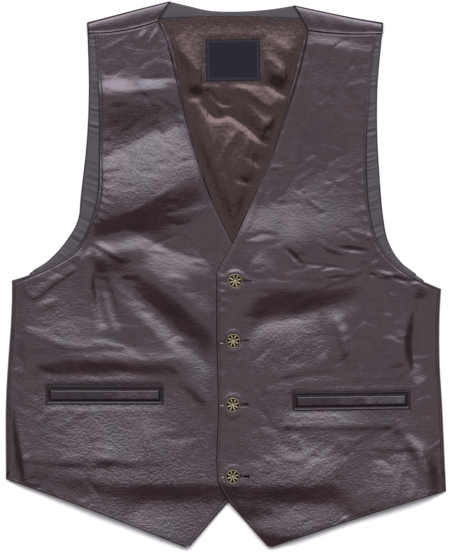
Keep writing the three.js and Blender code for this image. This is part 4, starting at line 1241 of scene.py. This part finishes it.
for side in ("right", "left"):
    finishPiece(fronts[side], leather, "leather", "front_" + side)
    finishPiece(weltPieces[side], shadedWeltLeather, "leather", "pocket_welt_" + side)
    finishPiece(facings[side], facing, "facing", "armhole_facing_" + side)
finishPiece(back, leather, "leather", "back")
finishPiece(neckFacing, facing, "facing", "neck_facing")
finishPiece(lining, satin, "satin", "back_lining")
finishPiece(label, woven, "label", "neck_label")
for row in stitches:
    finishPiece(row, thread, "leather")
for row in paleThreadAndHighlightRows:
    finishPiece(row, paleThreadAndHighlight, "leather")
for k, piece in enumerate(buttonPieces):
    finishPiece(piece, brass, "brass", "button_" + str(k + 1))

# Floor, light and camera
studio = {"floor": 14.0, "floorHeight": -0.0003, "room": 0.2, "lampDistance": 9.0}
# A bank of softboxes over the top and down towards the neck end: from and to are angles from the zenith.
softboxes = {
    "south": {"from": -10, "to": -4.5, "width": 11, "radiance": 1.25},
    "overhead": {"from": -4.5, "to": -1.7, "width": 11, "radiance": 2.0},
    "top": {"from": -1.7, "to": 5.5, "width": 11, "radiance": 0.18},
    "high north": {"from": 5.5, "to": 13, "width": 11, "radiance": 1.7},
    "north": {"from": 13, "to": 22, "width": 10, "radiance": 5.4},
    "low north": {"from": 22, "to": 42, "width": 9, "radiance": 8.2},
}
bpy.ops.mesh.primitive_plane_add(size=studio["floor"], location=(0, 0, studio["floorHeight"]))
floor = bpy.context.active_object
floor.name = "floor"
paper = newMaterial("white paper sweep", {"Base Color": colour("fcfcfc"), "Roughness": 0.9})[0]
floor.data.materials.append(paper)

world = bpy.data.worlds.new("soft studio")
bpy.context.scene.world = world
world.use_nodes = True
world.node_tree.nodes["Background"].inputs["Color"].default_value = (1, 1, 1, 1)
world.node_tree.nodes["Background"].inputs["Strength"].default_value = studio["room"]


def softbox(name, box):
    middle = math.radians((box["from"] + box["to"]) / 2)
    half = math.radians((box["to"] - box["from"]) / 2)
    lamp = bpy.data.lights.new(name, "AREA")
    lamp.shape = "RECTANGLE"
    lamp.size, lamp.size_y = box["width"], 2 * studio["lampDistance"] * math.tan(half)
    lamp.energy = box["radiance"] * math.pi * lamp.size * lamp.size_y
    lamp.color = (0.97, 0.94, 1)
    holder = bpy.data.objects.new(name, lamp)
    away = studio["lampDistance"]
    holder.location = (0, away * math.sin(middle), away * math.cos(middle))
    holder.rotation_euler = (-middle, 0, 0)
    bpy.context.scene.collection.objects.link(holder)


for name, box in softboxes.items():
    softbox(name, box)

view = {"lens": 600, "distance": 11.46, "aimX": -1.24, "aimY": -3.72}
camera = bpy.data.cameras.new("camera")
camera.lens = view["lens"]
holder = bpy.data.objects.new("camera", camera)
holder.location = (view["aimX"] * mm, view["aimY"] * mm, view["distance"])
bpy.context.scene.collection.objects.link(holder)
bpy.context.scene.camera = holder
bpy.context.scene.view_settings.view_transform = "Standard"
print("stage done")
